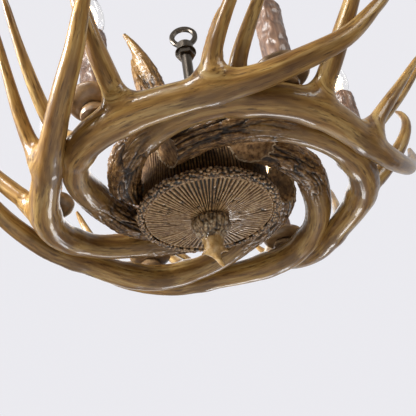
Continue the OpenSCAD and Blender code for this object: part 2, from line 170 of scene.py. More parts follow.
def seen_directly(owner):
    """1 for rays from the camera, straight or through glass, and 0 for all others."""
    path = add(owner, "LightPath")
    either = add(owner, "Math", operation="MAXIMUM")
    join(owner, path.outputs["Is Camera Ray"], either.inputs[0])
    join(owner, path.outputs["Is Transmission Ray"], either.inputs[1])
    return either.outputs[0]


print("range, mix and ray helpers ready")

# %% [markdown]
# ## The floor
# A plain pale floor lies far below and bounces soft light on to the undersides. It could be made
# pale with more lamps, but those would bleach the fixture too. So most of what the camera sees of
# it is a glow that lights nothing, and the rest is a lit surface that still takes the shadow.

# %% Floor
FLOOR_SIZE = 14
FLOOR_Z = -1.9
GLOW_SHARE = 0.78

bpy.ops.mesh.primitive_plane_add(size=FLOOR_SIZE, location=(0, 0, FLOOR_Z))
floor = bpy.context.object
floor.name = "floor"
floor_finish = new_finish("floor_finish", 0.9)
fix(floor_finish, "Base Color", (0.8, 0.76, 0.7, 1))
floor_glow = add(floor_finish, "Emission")
floor_glow.inputs["Color"].default_value = (0.99, 0.98, 1, 1)
glow_share = scaled(floor_finish, seen_directly(floor_finish), 0.0, 1.0, 0.0, GLOW_SHARE)
lit = shader_of(floor_finish).outputs[0]
floor_mix = two_shaders(floor_finish, glow_share, lit, floor_glow.outputs[0])
join(floor_finish, floor_mix, floor_finish.node_tree.nodes["Material Output"].inputs["Surface"])
floor.data.materials.append(floor_finish)
print("floor at", FLOOR_Z)

# %% [markdown]
# ## The sky
# A pale sky stands all round, as a studio's paper backdrop does. One colour would do, but glossy
# horn lives from what it mirrors. So the sky has three answers: pale for the camera, dim for plain
# lighting, and for reflections bright on the far side only, which gives the antlers pale edges
# while the undersides stay deep.

# %% Sky
BACKDROP = (0.83, 0.825, 0.865)
DIM = 0.12
BRIGHT = 0.75

world = bpy.data.worlds.new("pale_sky")
bpy.context.scene.world = world
world.use_nodes = True
world.node_tree.nodes.clear()


def sky_light(colour, strength):
    n = add(world, "Background")
    n.inputs["Color"].default_value = (*colour, 1)
    n.inputs["Strength"].default_value = strength
    return n.outputs[0]


towards = add(world, "SeparateXYZ")
join(world, add(world, "TexCoord").outputs["Generated"], towards.inputs[0])
far_side = scaled(world, towards.outputs["Y"], -0.3, 0.6, 0.0, 1.0)
near_sky = sky_light((1, 0.95, 0.88), DIM)
far_sky = sky_light((0.96, 0.97, 1), BRIGHT)
mirrored = two_shaders(world, far_side, near_sky, far_sky)
glossy_ray = add(world, "LightPath").outputs["Is Glossy Ray"]
unseen = two_shaders(world, glossy_ray, sky_light((0.95, 0.95, 1), DIM), mirrored)
sky = two_shaders(world, seen_directly(world), unseen, sky_light(BACKDROP, 1.0))
join(world, sky, add(world, "OutputWorld").inputs[0])
print("sky ready")

# %% [markdown]
# ## The lamps
# Soft studio light comes from large area lamps. A sun would draw hard shadows, so it isn't used.
# The strong one on the left models the antlers, the front one fills the beams nearest the camera,
# and the small one below puts a sheen on the gilled disc. All of them aim at that disc.

# %% Lamps
LAMPS = [
    ("lamp_left", (-1.6, -0.5, 0.15), 0.7, 72, (1, 0.985, 0.965)),
    ("lamp_back", (-0.4, 1.6, 0.6), 1.4, 10, (1, 1, 1)),
    ("lamp_right", (1.3, -1.2, 0.45), 0.8, 14, (1, 0.99, 0.96)),
    ("lamp_front", (-0.8, -1.4, 0.6), 0.6, 30, (1, 0.99, 0.97)),
    ("lamp_below", (0.1, 1.45, -1.15), 0.35, 4.5, (0.97, 0.98, 1)),
]
for name, spot, size, watts, colour in LAMPS:
    data = bpy.data.lights.new(name, "AREA")
    data.energy = watts
    data.size = size
    data.color = colour
    lamp = bpy.data.objects.new(name, data)
    lamp.location = spot
    aim = Vector((0, 0, DISC_Z)) - Vector(spot)
    lamp.rotation_euler = aim.to_track_quat("-Z", "Y").to_euler()
    bpy.context.scene.collection.objects.link(lamp)
print("lamps:", len(LAMPS))

# %% [markdown]
# ## Picking objects
# Operators act on what is selected and active. So before each one, everything else is deselected,
# and an operator can never change a piece that was made earlier. A copy gets a mesh of its own,
# because a shared mesh would take the relief of all its users.

# %% Picking helpers
def deselect():
    for o in bpy.context.selected_objects:
        o.select_set(False)


def pick(*objects):
    deselect()
    for o in objects:
        o.select_set(True)
    bpy.context.view_layer.objects.active = objects[-1]


def copied(o, name):
    c = o.copy()
    c.data = o.data.copy()
    c.name = name
    c.data.name = name
    bpy.context.scene.collection.objects.link(c)
    return c


def discard(o):
    bpy.data.meshes.remove(o.data)


def ready(o, body, slot, *old):
    """Smooths a finished piece and says what it rides on and what it hides; slot is not used."""
    pick(o)
    bpy.ops.object.shade_smooth()
    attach(o, body)
    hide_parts(*old)


print("picking helpers ready")

# %% [markdown]
# ## Reading and moving points
# Relief such as bark can be sculpted by hand or come from a displace modifier. Here it is worked
# out for all points of a mesh at once, as arrays, because then grooves can follow each antler and
# the same numbers can colour them.

# %% Point helpers
def points_of(o, what="co"):
    found = np.zeros(len(o.data.vertices) * 3)
    o.data.vertices.foreach_get(what, found)
    return found.reshape(-1, 3)


def move_points(o, co):
    o.data.vertices.foreach_set("co", co.astype(np.float32).ravel())
    o.data.update()


def note(o, name, values):
    """Keeps one number or one vector for each point, for the finish to read."""
    plain = values.ndim == 1
    kind = "FLOAT" if plain else "FLOAT_VECTOR"
    a = o.data.attributes.new(name, kind, "POINT")
    a.data.foreach_set("value" if plain else "vector", values.astype(np.float32).ravel())


print("point helpers ready")

# %% [markdown]
# ## Noise for whole arrays
# Bark, pearls and drips start as smooth noise. The built-in noise functions take one point at a
# time, which is slow for 100,000 points. `ripple` works on all of them together: every cell of
# space gets fixed values at its corners, and a point takes a soft mix of the eight around it.
# The seed, a whole number, picks one of many such patterns.

# %% Noise helpers
def between(x, low, high):
    """0 below low, 1 above high, and a soft step from one to the other."""
    t = np.clip((x - low) / (high - low), 0, 1)
    return t * t * (3 - 2 * t)


def ridge(noise, width):
    """1 where the noise crosses zero, falling to 0 at width: thin winding lines."""
    return np.clip(1 - np.abs(noise) / width, 0, 1)


def corner_values(cell, seed):
    h = cell[..., 0] * 73856093 ^ cell[..., 1] * 19349663 ^ cell[..., 2] * 83492791 ^ seed * 2654435
    h = (h ^ (h >> 13)) * 1274126177 & 0x7FFFFFFF
    h = (h ^ (h >> 16)) * 668265263 & 0x7FFFFFFF
    return (h % 20011) / 10005.5 - 1


def ripple(p, seed=1):
    """Smooth noise from -1 to 1 at each point of p."""
    base = np.floor(p).astype(np.int64)
    t = p - base
    t = t * t * (3 - 2 * t)
    total = np.zeros(len(p))
    for dx in (0, 1):
        for dy in (0, 1):
            for dz in (0, 1):
                share = (
                    (t[:, 0] if dx else 1 - t[:, 0])
                    * (t[:, 1] if dy else 1 - t[:, 1])
                    * (t[:, 2] if dz else 1 - t[:, 2])
                )
                total += share * corner_values(base + np.array((dx, dy, dz)), seed)
    return total


print("noise at the origin:", round(float(ripple(np.zeros((1, 3)))[0]), 3))

# %% [markdown]
# ## Texture steps
# A finish gets its pattern from noise in the piece's own coordinates, or in numbers that are kept
# on its points. Stretching the coordinates stretches the pattern, which is how streaks are made.
# An image could be painted on instead, but nodes stay sharp at any distance and need no unwrap.

# %% Texture helpers
def kept(mat, name, output="Fac"):
    return add(mat, "Attribute", attribute_name=name).outputs[output]


def place_of(mat):
    return add(mat, "TexCoord").outputs["Object"]


def stretched(mat, vector, size):
    m = add(mat, "Mapping")
    m.inputs["Scale"].default_value = [1 / s for s in size]
    join(mat, vector, m.inputs["Vector"])
    return m.outputs["Vector"]


def clouds(mat, vector, scale=1.0, detail=3.0, rough=0.55):
    n = add(mat, "TexNoise")
    n.inputs["Scale"].default_value = scale
    n.inputs["Detail"].default_value = detail
    n.inputs["Roughness"].default_value = rough
    join(mat, vector, n.inputs["Vector"])
    return n.outputs["Fac"]


print("texture helpers ready")

# %% [markdown]
# ## From pattern to colour and bump
# A pattern is grey until a colour ramp gives it tones. Stains and patches are laid over with a mix
# whose share is another pattern, as a painter works in washes. The finest grain isn't worth real
# points, so it is a bump, which only tilts the light.

# %% Colour and bump helpers
def tones(mat, fac, stops):
    """A colour ramp with one stop for each (place, colour)."""
    r = add(mat, "ValToRGB")
    ramp = r.color_ramp
    while len(ramp.elements) < len(stops):
        ramp.elements.new(0.5)
    for e, (at, colour) in zip(ramp.elements, stops):
        e.position = at
        e.color = (*colour, 1)
    join(mat, fac, r.inputs["Fac"])
    return r.outputs["Color"]


def mixed(mat, fac, a, b):
    """A mix of two colours, each of them a socket or a plain colour."""
    m = add(mat, "Mix", data_type="RGBA")
    for socket, value in ((m.inputs[0], fac), (m.inputs[6], a), (m.inputs[7], b)):
        if isinstance(value, bpy.types.NodeSocket):
            join(mat, value, socket)
        else:
            socket.default_value = (*value, 1)
    return m.outputs[2]


def bumped(mat, height, distance, strength):
    b = add(mat, "Bump")
    b.inputs["Strength"].default_value = strength
    b.inputs["Distance"].default_value = distance
    join(mat, height, b.inputs["Height"])
    feed(mat, "Normal", b.outputs["Normal"])


print("colour and bump helpers ready")

# %% [markdown]
# ## Horn and bark
# The antlers are resin casts, painted like horn: golden with brown flecks, and bark-brown near the
# saw cut. Near the base the beams are darker: painted shade, for the shade on their lower sides.
# Streaks in plain object coordinates would run straight through every bend, so the finish reads
# three things that are kept on the piece. `grain` is two numbers round the antler and one along it,
# so streaks follow it. `bark` is 1 where the surface is rough, and `hollow` is 1 in a groove, where
# painted shade darkens the groove to near black.

# %% Horn finish
# Painted shade: near black, laid wherever `hollow` marks a groove, gap, slot, crack or pit.
PAINTED_SHADE_BLACK = (0.012, 0.008, 0.007)
BROWN_STREAK = (0.065, 0.027, 0.007)
BROWN_PATCH = (0.11, 0.048, 0.012)
# Painted shade: the darker brown that the beams near the base are mixed towards.
BASE_SHADE_BROWN = (0.09, 0.046, 0.018)
HORN_TONES = [(0.34, (0.2, 0.095, 0.024)), (0.5, (0.34, 0.188, 0.048)), (0.66, (0.5, 0.335, 0.125))]
BARK_TONES = [
    (0.3, (0.04, 0.017, 0.006)),
    (0.47, (0.13, 0.062, 0.02)),
    (0.6, (0.29, 0.165, 0.065)),
    (0.74, (0.56, 0.4, 0.23)),
]

antler_finish = new_finish("antler_finish", 0.38)
grain = kept(antler_finish, "grain", "Vector")
fleck_place = stretched(antler_finish, grain, (0.003, 0.003, 0.026))
streak_place = stretched(antler_finish, grain, (0.007, 0.007, 0.12))
patch_place = stretched(antler_finish, grain, (0.022, 0.022, 0.1))
bark_place = stretched(antler_finish, grain, (0.003, 0.003, 0.008))
fleck = clouds(antler_finish, fleck_place, detail=5, rough=0.62)
streak = clouds(antler_finish, streak_place, detail=4, rough=0.62)
patch = clouds(antler_finish, patch_place, detail=3)
bark_noise = clouds(antler_finish, bark_place, detail=5, rough=0.65)
length = add(antler_finish, "SeparateXYZ")
join(antler_finish, grain, length.inputs["Vector"])
flecked = scaled(antler_finish, fleck, 0.53, 0.66, 0.0, 0.85)
patched = scaled(antler_finish, patch, 0.48, 0.64, 0.0, 0.75)
# Painted shade on the beams near the base: strongest at the base, fading out along the beam.
base_shade_share = scaled(antler_finish, length.outputs["Z"], 0.1, 0.34, 0.5, 0.0)
horn = tones(antler_finish, streak, HORN_TONES)
horn = mixed(antler_finish, flecked, horn, BROWN_STREAK)
horn = mixed(antler_finish, patched, horn, BROWN_PATCH)
horn = mixed(antler_finish, base_shade_share, horn, BASE_SHADE_BROWN)
rough_part = kept(antler_finish, "bark")
both = mixed(antler_finish, rough_part, horn, tones(antler_finish, bark_noise, BARK_TONES))
# Painted shade: `hollow` mixes the grooves towards near black.
feed(antler_finish, "Base Color", mixed(antler_finish, kept(antler_finish, "hollow"), both, PAINTED_SHADE_BLACK))
feed(antler_finish, "Roughness", scaled(antler_finish, fleck, 0.3, 0.7, 0.44, 0.3))
feed(antler_finish, "Coat Weight", scaled(antler_finish, rough_part, 0.0, 1.0, 0.42, 0.1))
feed(antler_finish, "Specular IOR Level", scaled(antler_finish, rough_part, 0.0, 1.0, 0.28, 0.25))
bumped(antler_finish, bark_noise, 0.0006, 0.35)
print("horn finish ready")

# %% [markdown]
# ## The sawn ends
# Where an antler was cut, its core shows: rough, brown and spongy, with a paler line where the
# saw broke the skin. The core and that line are two finishes on two material slots, which is
# simpler than a mask, because the cut's faces are known when the saw cell makes them.

# %% Sawn finishes
SAWN_TONES = [(0.35, (0.06, 0.032, 0.015)), (0.5, (0.22, 0.115, 0.045)), (0.7, (0.36, 0.22, 0.1))]
EDGE_TONES = [(0.35, (0.2, 0.12, 0.06)), (0.65, (0.5, 0.38, 0.24))]

sawn_finish = new_finish("sawn_finish", 0.7)
fix(sawn_finish, "Specular IOR Level", 0.2)
sawn_spots = clouds(sawn_finish, place_of(sawn_finish), scale=160, detail=4)
sawn_wide = clouds(sawn_finish, place_of(sawn_finish), scale=38, detail=2)
sawn_dirt = scaled(sawn_finish, sawn_wide, 0.45, 0.62, 0.0, 0.7)
sawn_tone = mixed(sawn_finish, sawn_dirt, tones(sawn_finish, sawn_spots, SAWN_TONES), (0.045, 0.028, 0.018))
feed(sawn_finish, "Base Color", sawn_tone)
bumped(sawn_finish, sawn_spots, 0.001, 0.5)

cut_edge_finish = new_finish("cut_edge_finish", 0.45)
edge_spots = clouds(cut_edge_finish, place_of(cut_edge_finish), scale=220, detail=3)
feed(cut_edge_finish, "Base Color", tones(cut_edge_finish, edge_spots, EDGE_TONES))
print("sawn finishes ready")

# %% [markdown]
# ## The antler's plan
# A real antler is one growing beam with tines that flow out of it. It could be drawn by hand as a
# curve. Here the plan is rows of numbers, because the antler swirls round the stem: each row is
# the turn about the stem in degrees, distance from it, height over the disc, and half width.
# `past` and `inward` place points against the candle ring, so the plan keeps its proportions.

# %% Antler plan
ARMS = 6
CANDLE_R = 0.22
OUT_R = CANDLE_R - 0.004
BASE_W = 0.022
BEAM_W = 0.021
BASE_R = 0.088 + BASE_W - 0.003
BASE_Z = 0.039
BEAM_Z = 0.014
REACH = 0.1325
RISE = 0.182
TINE_W = 0.0125
TIP_W = 0.0035


def past(a, out, rise):
    return (a, OUT_R + out * REACH, BEAM_Z + rise * RISE)


def inward(share):
    return BASE_R + share * (OUT_R - BASE_R)


BEAM = [
    (-16, BASE_R + 0.004, BASE_Z, BASE_W),
    (-8, BASE_R + 0.001, BASE_Z, BASE_W * 1.02),
    (0, BASE_R, BASE_Z, BASE_W),
    (28, inward(0.17), BASE_Z, BASE_W),
    (60, inward(0.44), BASE_Z, (2 * BASE_W + BEAM_W) / 3),
    (88, inward(0.8), (BASE_Z + 2 * BEAM_Z) / 3, BEAM_W * 0.86),
    (110, OUT_R, BEAM_Z, BEAM_W),
    (*past(140, 0.04, 0), BEAM_W * 0.87),
    (*past(160, 0.24, 0.01), BEAM_W * 0.7),
    (*past(176, 0.57, 0.17), BEAM_W * 0.56),
    (*past(184, 0.84, 0.43), BEAM_W * 0.36),
    (*past(188, 0.97, 0.62), BEAM_W * 0.17),
]
TINES = [
    ([past(97, -0.1, 0.02), past(90, 0.09, 0.15), past(99, 0.45, 0.36), past(104, 0.9, 0.88)], TINE_W),
    ([past(120, 0, 0), past(121, 0.49, 0.28), past(119, 1, 0.69), past(126, 0.91, 1)], TINE_W * 1.16),
    ([past(147, 0.08, 0), past(145, 0.26, 0.13), past(151, 0.45, 0.34), past(159, 0.88, 0.84)], TINE_W),
]
print("beam rows:", len(BEAM), "tines:", len(TINES))

# %% [markdown]
# ## From plan to limbs
# A beam's rows are joined by a Catmull-Rom curve, which passes through each of them. A tine is a
# Bezier curve with four control points, because it only has to leave the beam and bend upwards.
# Both give a line of points with a width for each. A tine starts thin inside the beam, so that it
# doesn't swell the far side.

# %% Limbs
BEAM_STEPS = 8
TINE_POINTS = 18


def from_polar(a, r, z):
    return np.array((r * math.cos(math.radians(a)), r * math.sin(math.radians(a)), z))


def smooth_row(rows, steps):
    """Catmull-Rom points through rows of numbers."""
    rows = [np.array(r, float) for r in rows]
    last = len(rows) - 2
    out = []
    for k in range(len(rows) - 1):
        a, b, c, d = rows[max(k - 1, 0)], rows[k], rows[k + 1], rows[min(k + 2, len(rows) - 1)]
        for s in range(steps + (k == last)):
            t = s / steps
            bend = (2 * a - 5 * b + 4 * c - d) * t * t
            out.append(0.5 * (2 * b + (c - a) * t + bend + (3 * b - a - 3 * c + d) * t**3))
    return np.array(out)


def beam_limb(knots):
    rows = smooth_row(knots, BEAM_STEPS)
    return np.array([from_polar(*r[:3]) for r in rows]), rows[:, 3]


def tine_limb(ctrl, root_w):
    p = [from_polar(*c) for c in ctrl]
    t = np.linspace(0, 1, TINE_POINTS)[:, None]
    pts = (1 - t) ** 3 * p[0] + 3 * (1 - t) ** 2 * t * p[1] + 3 * (1 - t) * t * t * p[2] + t**3 * p[3]
    widths = TIP_W + (root_w - TIP_W) * (1 - t[:, 0]) ** 0.8
    widths *= 0.35 + 0.65 * between(t[:, 0], -0.02, 0.2)
    widths[-1] = TIP_W * 0.7
    return pts, widths


beam_steps = np.diff(beam_limb(BEAM)[0], axis=0)
print("beam length", round(float(np.linalg.norm(beam_steps, axis=1).sum()), 3))

# %% [markdown]
# ## One skin for all limbs
# Each limb becomes a thick curve: a curve object whose round bevel follows the radius kept at
# each point. Booleans could weld them, but leave hard creases and long thin faces. A voxel
# remesh rebuilds everything as one closed skin of even faces, which relief needs.

# %% Limb skins
def limb_curve(name, pts, widths):
    deselect()
    bpy.ops.curve.primitive_bezier_curve_add()
    o = bpy.context.object
    o.name = name
    o.data.splines.clear()
    line = o.data.splines.new("POLY")
    line.points.add(len(pts) - 1)
    for p, co, w in zip(line.points, pts, widths):
        p.co = (*co, 1)
        p.radius = w
    o.data.bevel_depth = 1.0
    o.data.bevel_resolution = 3
    o.data.use_fill_caps = True
    bpy.ops.object.convert(target="MESH")
    return bpy.context.object


def skin(name, limbs, voxel):
    parts = [limb_curve(f"{name}_limb", pts, widths) for pts, widths, *_ in limbs]
    pick(*parts[::-1])
    bpy.ops.object.join()
    o = bpy.context.object
    o.name = name
    o.data.name = name
    m = o.modifiers.new("one_skin", "REMESH")
    m.mode = "VOXEL"
    m.voxel_size = voxel
    bpy.ops.object.modifier_apply(modifier=m.name)
    return o


print("skin helpers ready")

# %% [markdown]
# ## Where a point is on its antler
# Streaks and grooves have to follow the horn, so each point is measured against a limb's middle
# line: how far along, on which side, and how far out. A UV unwrap would give that too, but only
# for a plain tube, and it would tear at the forks.

# %% Measuring
TINY = 1e-6


def limb_frame(pts, start):
    """Length along a limb and a pair of directions across it that don't twist."""
    step = np.diff(pts, axis=0)
    run = np.concatenate(([0], np.cumsum(np.linalg.norm(step, axis=1)))) + start
    onward = np.vstack((step, step[-1:]))
    onward /= np.linalg.norm(onward, axis=1)[:, None]
    side = np.cross((0.05, 0.02, 1), onward[0])
    sides = []
    for a in onward:
        side = side - a * side.dot(a)
        side /= np.linalg.norm(side)
        sides.append(side)
    sides = np.array(sides)
    return run, sides, np.cross(onward, sides)


def measure(co, limb):
    """For each point: gap to the limb's skin, way out, length along, side, and the limb's width."""
    pts, widths, run, side, top = limb
    a, seg = pts[:-1], np.diff(pts, axis=0)
    t = np.clip(np.einsum("nsk,sk->ns", co[:, None] - a, seg) / (seg**2).sum(1), 0, 1)
    gap = np.linalg.norm(co[:, None] - (a + t[..., None] * seg), axis=2)
    k = gap.argmin(1)
    u = t[np.arange(len(co)), k]
    mid = a[k] + u[:, None] * seg[k]

    def at_place(v):
        share = u[:, None] if v.ndim > 1 else u
        return v[k] * (1 - share) + v[k + 1] * share

    out = co - mid
    far = np.linalg.norm(out, axis=1)
    w = at_place(widths)
    ring = np.stack(((out * at_place(side)).sum(1), (out * at_place(top)).sum(1)), 1)
    far_or_tiny = np.maximum(far, TINY)[:, None]
    return far - w, out / far_or_tiny, at_place(run), ring / far_or_tiny, w


print("measuring helpers ready")

# %% [markdown]
# ## Webs at the forks
# A grown antler has a web of horn in each fork. A bevel can't round such a crease, and smoothing
# would thin the tips. So the limbs' answers are blended near a fork, which describes one soft
# union of them all, and the skin is settled on to that union in a few small moves.

# %% Settling
SETTLE_ROUNDS = 5
SETTLE_STEP = 0.006


def survey(co, limbs, web):
    """The blend of all limbs at each point: gap, way out and grain. web is how far a fork fills."""
    found = [measure(co, limb) for limb in limbs]
    gap = found[0][0]
    for other, *_ in found[1:]:
        near = np.clip(1 - np.abs(gap - other) / web, 0, 1)
        gap = np.minimum(gap, other) - near * near * web / 4
    gaps = np.stack([f[0] for f in found], 1)
    share = np.exp(-(gaps - gaps.min(1, keepdims=True)) / (web * 0.25))
    share /= share.sum(1, keepdims=True)
    way = sum(share[:, i : i + 1] * f[1] for i, f in enumerate(found))
    along = sum(share[:, i] * f[2] for i, f in enumerate(found))
    ring = sum(share[:, i : i + 1] * f[3] * f[4][:, None] for i, f in enumerate(found))
    return gap, way, along, ring


def settle(o, limbs, web):
    co = points_of(o)
    for _ in range(SETTLE_ROUNDS):
        gap, way, along, ring = survey(co, limbs, web)
        size = (way**2).sum(1).clip(0.15, 1)
        co = co - way * np.clip(gap / size, -SETTLE_STEP, SETTLE_STEP)[:, None]
    move_points(o, co)
    return along, ring


print("settling helpers ready")

# %% [markdown]
# ## Carving the surface
# Old bark is deep furrows, finer grooves, cross cracks and small round pearls. Brushes in sculpt
# mode would make them too, six times over. Here each is one noise with its own lengths round and
# along the antler, and the polished part keeps shallow channels only. Every point then moves
# along its normal. The same numbers go on the piece as `grain`, `bark` and `hollow`, so colour
# and relief agree: `hollow` is the painted shade that darkens the grooves.

# %% Carving
BARK_SPREAD = 1.15
# The painted shade in a groove goes no darker than this share of near black.
DEEPEST_PAINTED_SHADE = 0.97


def carve(o, along, ring, rough, seed, depth=1.0, groove_shade=1.0):
    """Cuts grooves and raises pearls. rough runs from 0, polished, to 1, bark, and the last argument scales
    the painted shade in the grooves.
    """

    def grain_of(across, length):
        return np.column_stack((ring / across, along / length)) + seed * 7.3

    slow = ripple(grain_of(0.024, 0.045), seed)
    furrow = ridge(ripple(grain_of(0.0056, 0.036) + slow[:, None] * 0.5, seed + 1), 0.24)
    fine = ridge(ripple(grain_of(0.0032, 0.015), seed + 2), 0.26)
    pearl = between(ripple(grain_of(0.0038, 0.005), seed + 3), 0.25, 0.75)
    channel = ridge(ripple(grain_of(0.008, 0.09), seed + 4), 0.18)
    crack = ridge(ripple(grain_of(0.012, 0.009), seed + 5), 0.12)
    bark_h = 0.001 * slow - 0.0032 * furrow**0.7 - 0.0012 * fine - 0.001 * crack + 0.0012 * pearl + 0.0008
    horn_h = 0.0003 * slow - 0.00025 * channel
    height = depth * (rough * bark_h + horn_h)
    move_points(o, points_of(o) + points_of(o, "normal") * height[:, None])
    # Painted shade: deep is where the grooves and cracks are darkened as if shaded.
    deep = rough * (furrow + 0.7 * fine**1.5 + 0.5 * crack) + (1 - rough) * 0.1 * channel
    note(o, "grain", np.column_stack((ring, along)))
    note(o, "bark", np.clip(rough * BARK_SPREAD, 0, 1))
    note(o, "hollow", np.clip(groove_shade * deep, 0, DEEPEST_PAINTED_SHADE))


print("carving helper ready")

# %% [markdown]
# ## The saw
# The real antler is cut off with a saw, and so is this one: a bisect clears everything behind the
# plane and fills the cut. Only faces near the cut are selected, or the plane would go through
# tines that bend back across it. The new face is inset and sunk a little, for a hollow core with
# a rim. The inset's faces get the pale edge, and the face inside gets the sawn core.

# %% Saw cut
SAW_RIM = 0.0022
SAW_SINK = -0.0012
CUT_SIDES = 12
CORE_SLOT = 1
RIM_SLOT = 2


def give_slot(o, slot):
    o.active_material_index = slot
    bpy.ops.object.material_slot_assign()


def saw(o, spot, way, reach):
    """Cuts the piece off behind spot, and makes the face of the cut a little hollow."""
    pick(o)
    o.data.materials.append(sawn_finish)
    o.data.materials.append(cut_edge_finish)
    spot = Vector(spot)
    flat = Vector(way).normalized()
    bpy.context.tool_settings.mesh_select_mode = (False, False, True)
    for f in o.data.polygons:
        f.select = (f.center - spot).length < reach
    bpy.ops.object.mode_set(mode="EDIT")
    bpy.ops.mesh.bisect(plane_co=spot, plane_no=flat, use_fill=True, clear_inner=True)
    bpy.ops.object.mode_set(mode="OBJECT")
    for f in o.data.polygons:
        f.select = len(f.vertices) > CUT_SIDES and abs(f.normal.dot(flat)) > 0.95
    bpy.ops.object.mode_set(mode="EDIT")
    bpy.ops.mesh.inset(thickness=SAW_RIM, depth=SAW_SINK, use_even_offset=False)
    bpy.ops.mesh.select_more()
    give_slot(o, RIM_SLOT)
    bpy.ops.mesh.select_less()
    give_slot(o, CORE_SLOT)
    bpy.ops.object.mode_set(mode="OBJECT")


print("saw ready")

# %% [markdown]
# ## A smooth blank
# Remeshing and settling take most of the time, and the six antlers share one shape. So one smooth
# blank is made in the place of an antler at angle zero, and each antler starts as a copy of it.
# The voxel size keeps an antler just under 200,000 triangles, fine enough for its grooves.

# %% Blank
VOXEL = 0.0013
LIFT = np.array((0, 0, DISC_Z))
ANTLER_WEB = 0.026


def blank(name, knots, tines, web):
    """One beam with its tines, smooth, in the place of the first one at angle zero."""
    pts, widths = beam_limb(knots)
    pts = pts + LIFT
    limbs = [(pts, widths, *limb_frame(pts, 0))]
    for ctrl, root in tines:
        tine, tine_w = tine_limb(ctrl, root)
        tine = tine + LIFT
        near = limbs[0][2][np.linalg.norm(pts - tine[0], axis=1).argmin()]
        limbs.append((tine, tine_w, *limb_frame(tine, near)))
    o = skin(name, limbs, VOXEL)
    along, ring = settle(o, limbs, web)
    return o, pts, along, ring


horn_blank, horn_path, horn_along, horn_ring = blank("horn_blank", BEAM, TINES, ANTLER_WEB)
print("blank points:", len(horn_along))

# %% [markdown]
# ## Six antlers
# Each copy is carved with its own seed, so no two have the same bark. Bark covers the base and
# fades where the beam leaves the hub. Near the cut the relief is shallower, because deep grooves
# would leave the sawn end jagged. The piece is then sawn, turned to its arm as finished geometry,
# and stands for the fixture's plain antler.

# %% Carve six antlers
FIRST_TURN = -171
SEAT = 16
SEAT_BACK = 0.006
SAW_TILT = np.array((-0.9, 0, 0.6))
SAW_REACH = 0.075


def arm_turn(i, further=0):
    """How far arm i is turned about the stem."""
    return math.radians(FIRST_TURN + 360 / ARMS * (i - 1) + further)


seat_step = horn_path[SEAT + 2] - horn_path[SEAT]
horn_way = seat_step / np.linalg.norm(seat_step)
for i in range(1, ARMS + 1):
    antler = copied(horn_blank, f"antler_horn_{i}")
    antler.data.materials.append(antler_finish)
    edge = ripple(np.column_stack((horn_ring / 0.012, horn_along / 0.03)) + i, i) * 0.03
    bark_share = 1 - between(horn_along + edge, 0.1, 0.22)
    near_cut = 1 - 0.7 * np.exp(-((horn_along - 0.03) / 0.018) ** 2)
    carve(antler, horn_along, horn_ring, bark_share, i, depth=near_cut)
    saw(antler, horn_path[SEAT] - horn_way * SEAT_BACK, horn_way + SAW_TILT, SAW_REACH)
    antler.data.transform(Matrix.Rotation(arm_turn(i), 4, "Z"))
    ready(antler, "fixture", "antler_resin", f"antler_{i}")
discard(horn_blank)
print("antlers carved:", ARMS, "faces each:", len(antler.data.polygons))

# %% [markdown]
# ## The crown antlers
# Three shorter antlers stand on the hub's cover round the stem. They are made like the others,
# from a plan and a blank, but keep their bark over more of their length. Their saw cut is level,
# so that they stand on the cover.

# %% Crown antlers
CROWNS = 3
CROWN_Z = 0.089
CROWN_H = 0.25
CROWN_R = 0.046
CROWN_W = 0.019
LEAN = 0.052
CROWN_TINE_W = 0.0105
CROWN_WEB = 0.014
CROWN_FOOT = 8
FIRST_CROWN_TURN = 180
FIRST_CROWN_SEED = 20
CROWN_SAW_REACH = 0.05


def crown_point(a, lean, rise):
    return (a, CROWN_R + LEAN * lean, CROWN_Z + CROWN_H * rise)


CROWN_BEAM = [
    (*crown_point(-4, 0, -0.05), CROWN_W * 1.05),
    (*crown_point(-4, 0, 0), CROWN_W),
    (*crown_point(0, 0.02, 0.2), CROWN_W * 0.94),
    (*crown_point(6, 0.04, 0.45), CROWN_W * 0.8),
    (*crown_point(12, 0.27, 0.7), CROWN_W * 0.64),
    (*crown_point(16, 0.7, 0.9), CROWN_W * 0.42),
    (*crown_point(18, 1, 1), CROWN_W * 0.16),
]
CROWN_TINE = [
    crown_point(4, 0, 0.36),
    crown_point(8, 0.5, 0.45),
    crown_point(10, 0.7, 0.62),
    crown_point(6, 0.77, 0.84),
]
crown_blank, crown_path, crown_along, crown_ring = blank(
    "crown_blank", CROWN_BEAM, [(CROWN_TINE, CROWN_TINE_W)], CROWN_WEB
)
crown_bark = 0.25 + 0.75 * (1 - between(crown_along, 0.1, 0.24))
crown_foot = (*crown_path[CROWN_FOOT][:2], DISC_Z + CROWN_Z + 0.0003)
for i in range(1, CROWNS + 1):
    crown = copied(crown_blank, f"crown_horn_{i}")
    crown.data.materials.append(antler_finish)
    carve(crown, crown_along, crown_ring, crown_bark, FIRST_CROWN_SEED + i, depth=0.9)
    saw(crown, crown_foot, (0, 0, 1), CROWN_SAW_REACH)
    crown_turn = math.radians(FIRST_CROWN_TURN + 360 / CROWNS * (i - 1))
    crown.data.transform(Matrix.Rotation(crown_turn, 4, "Z"))
    ready(crown, "fixture", "antler_resin", f"crown_antler_{i}")
discard(crown_blank)
print("crown antlers carved:", CROWNS)

# %% [markdown]
# ## A lathe for round pieces
# The hub, the dishes, the sleeves and the bulbs are round, so each starts as a closed outline of
# radius and height that is spun about its axis, as on a lathe. A cylinder could be sculpted too,
# but the outline gives exact sizes and lets the rows of points lie where relief needs them.

# %% Lathe
WELD = 0.00001


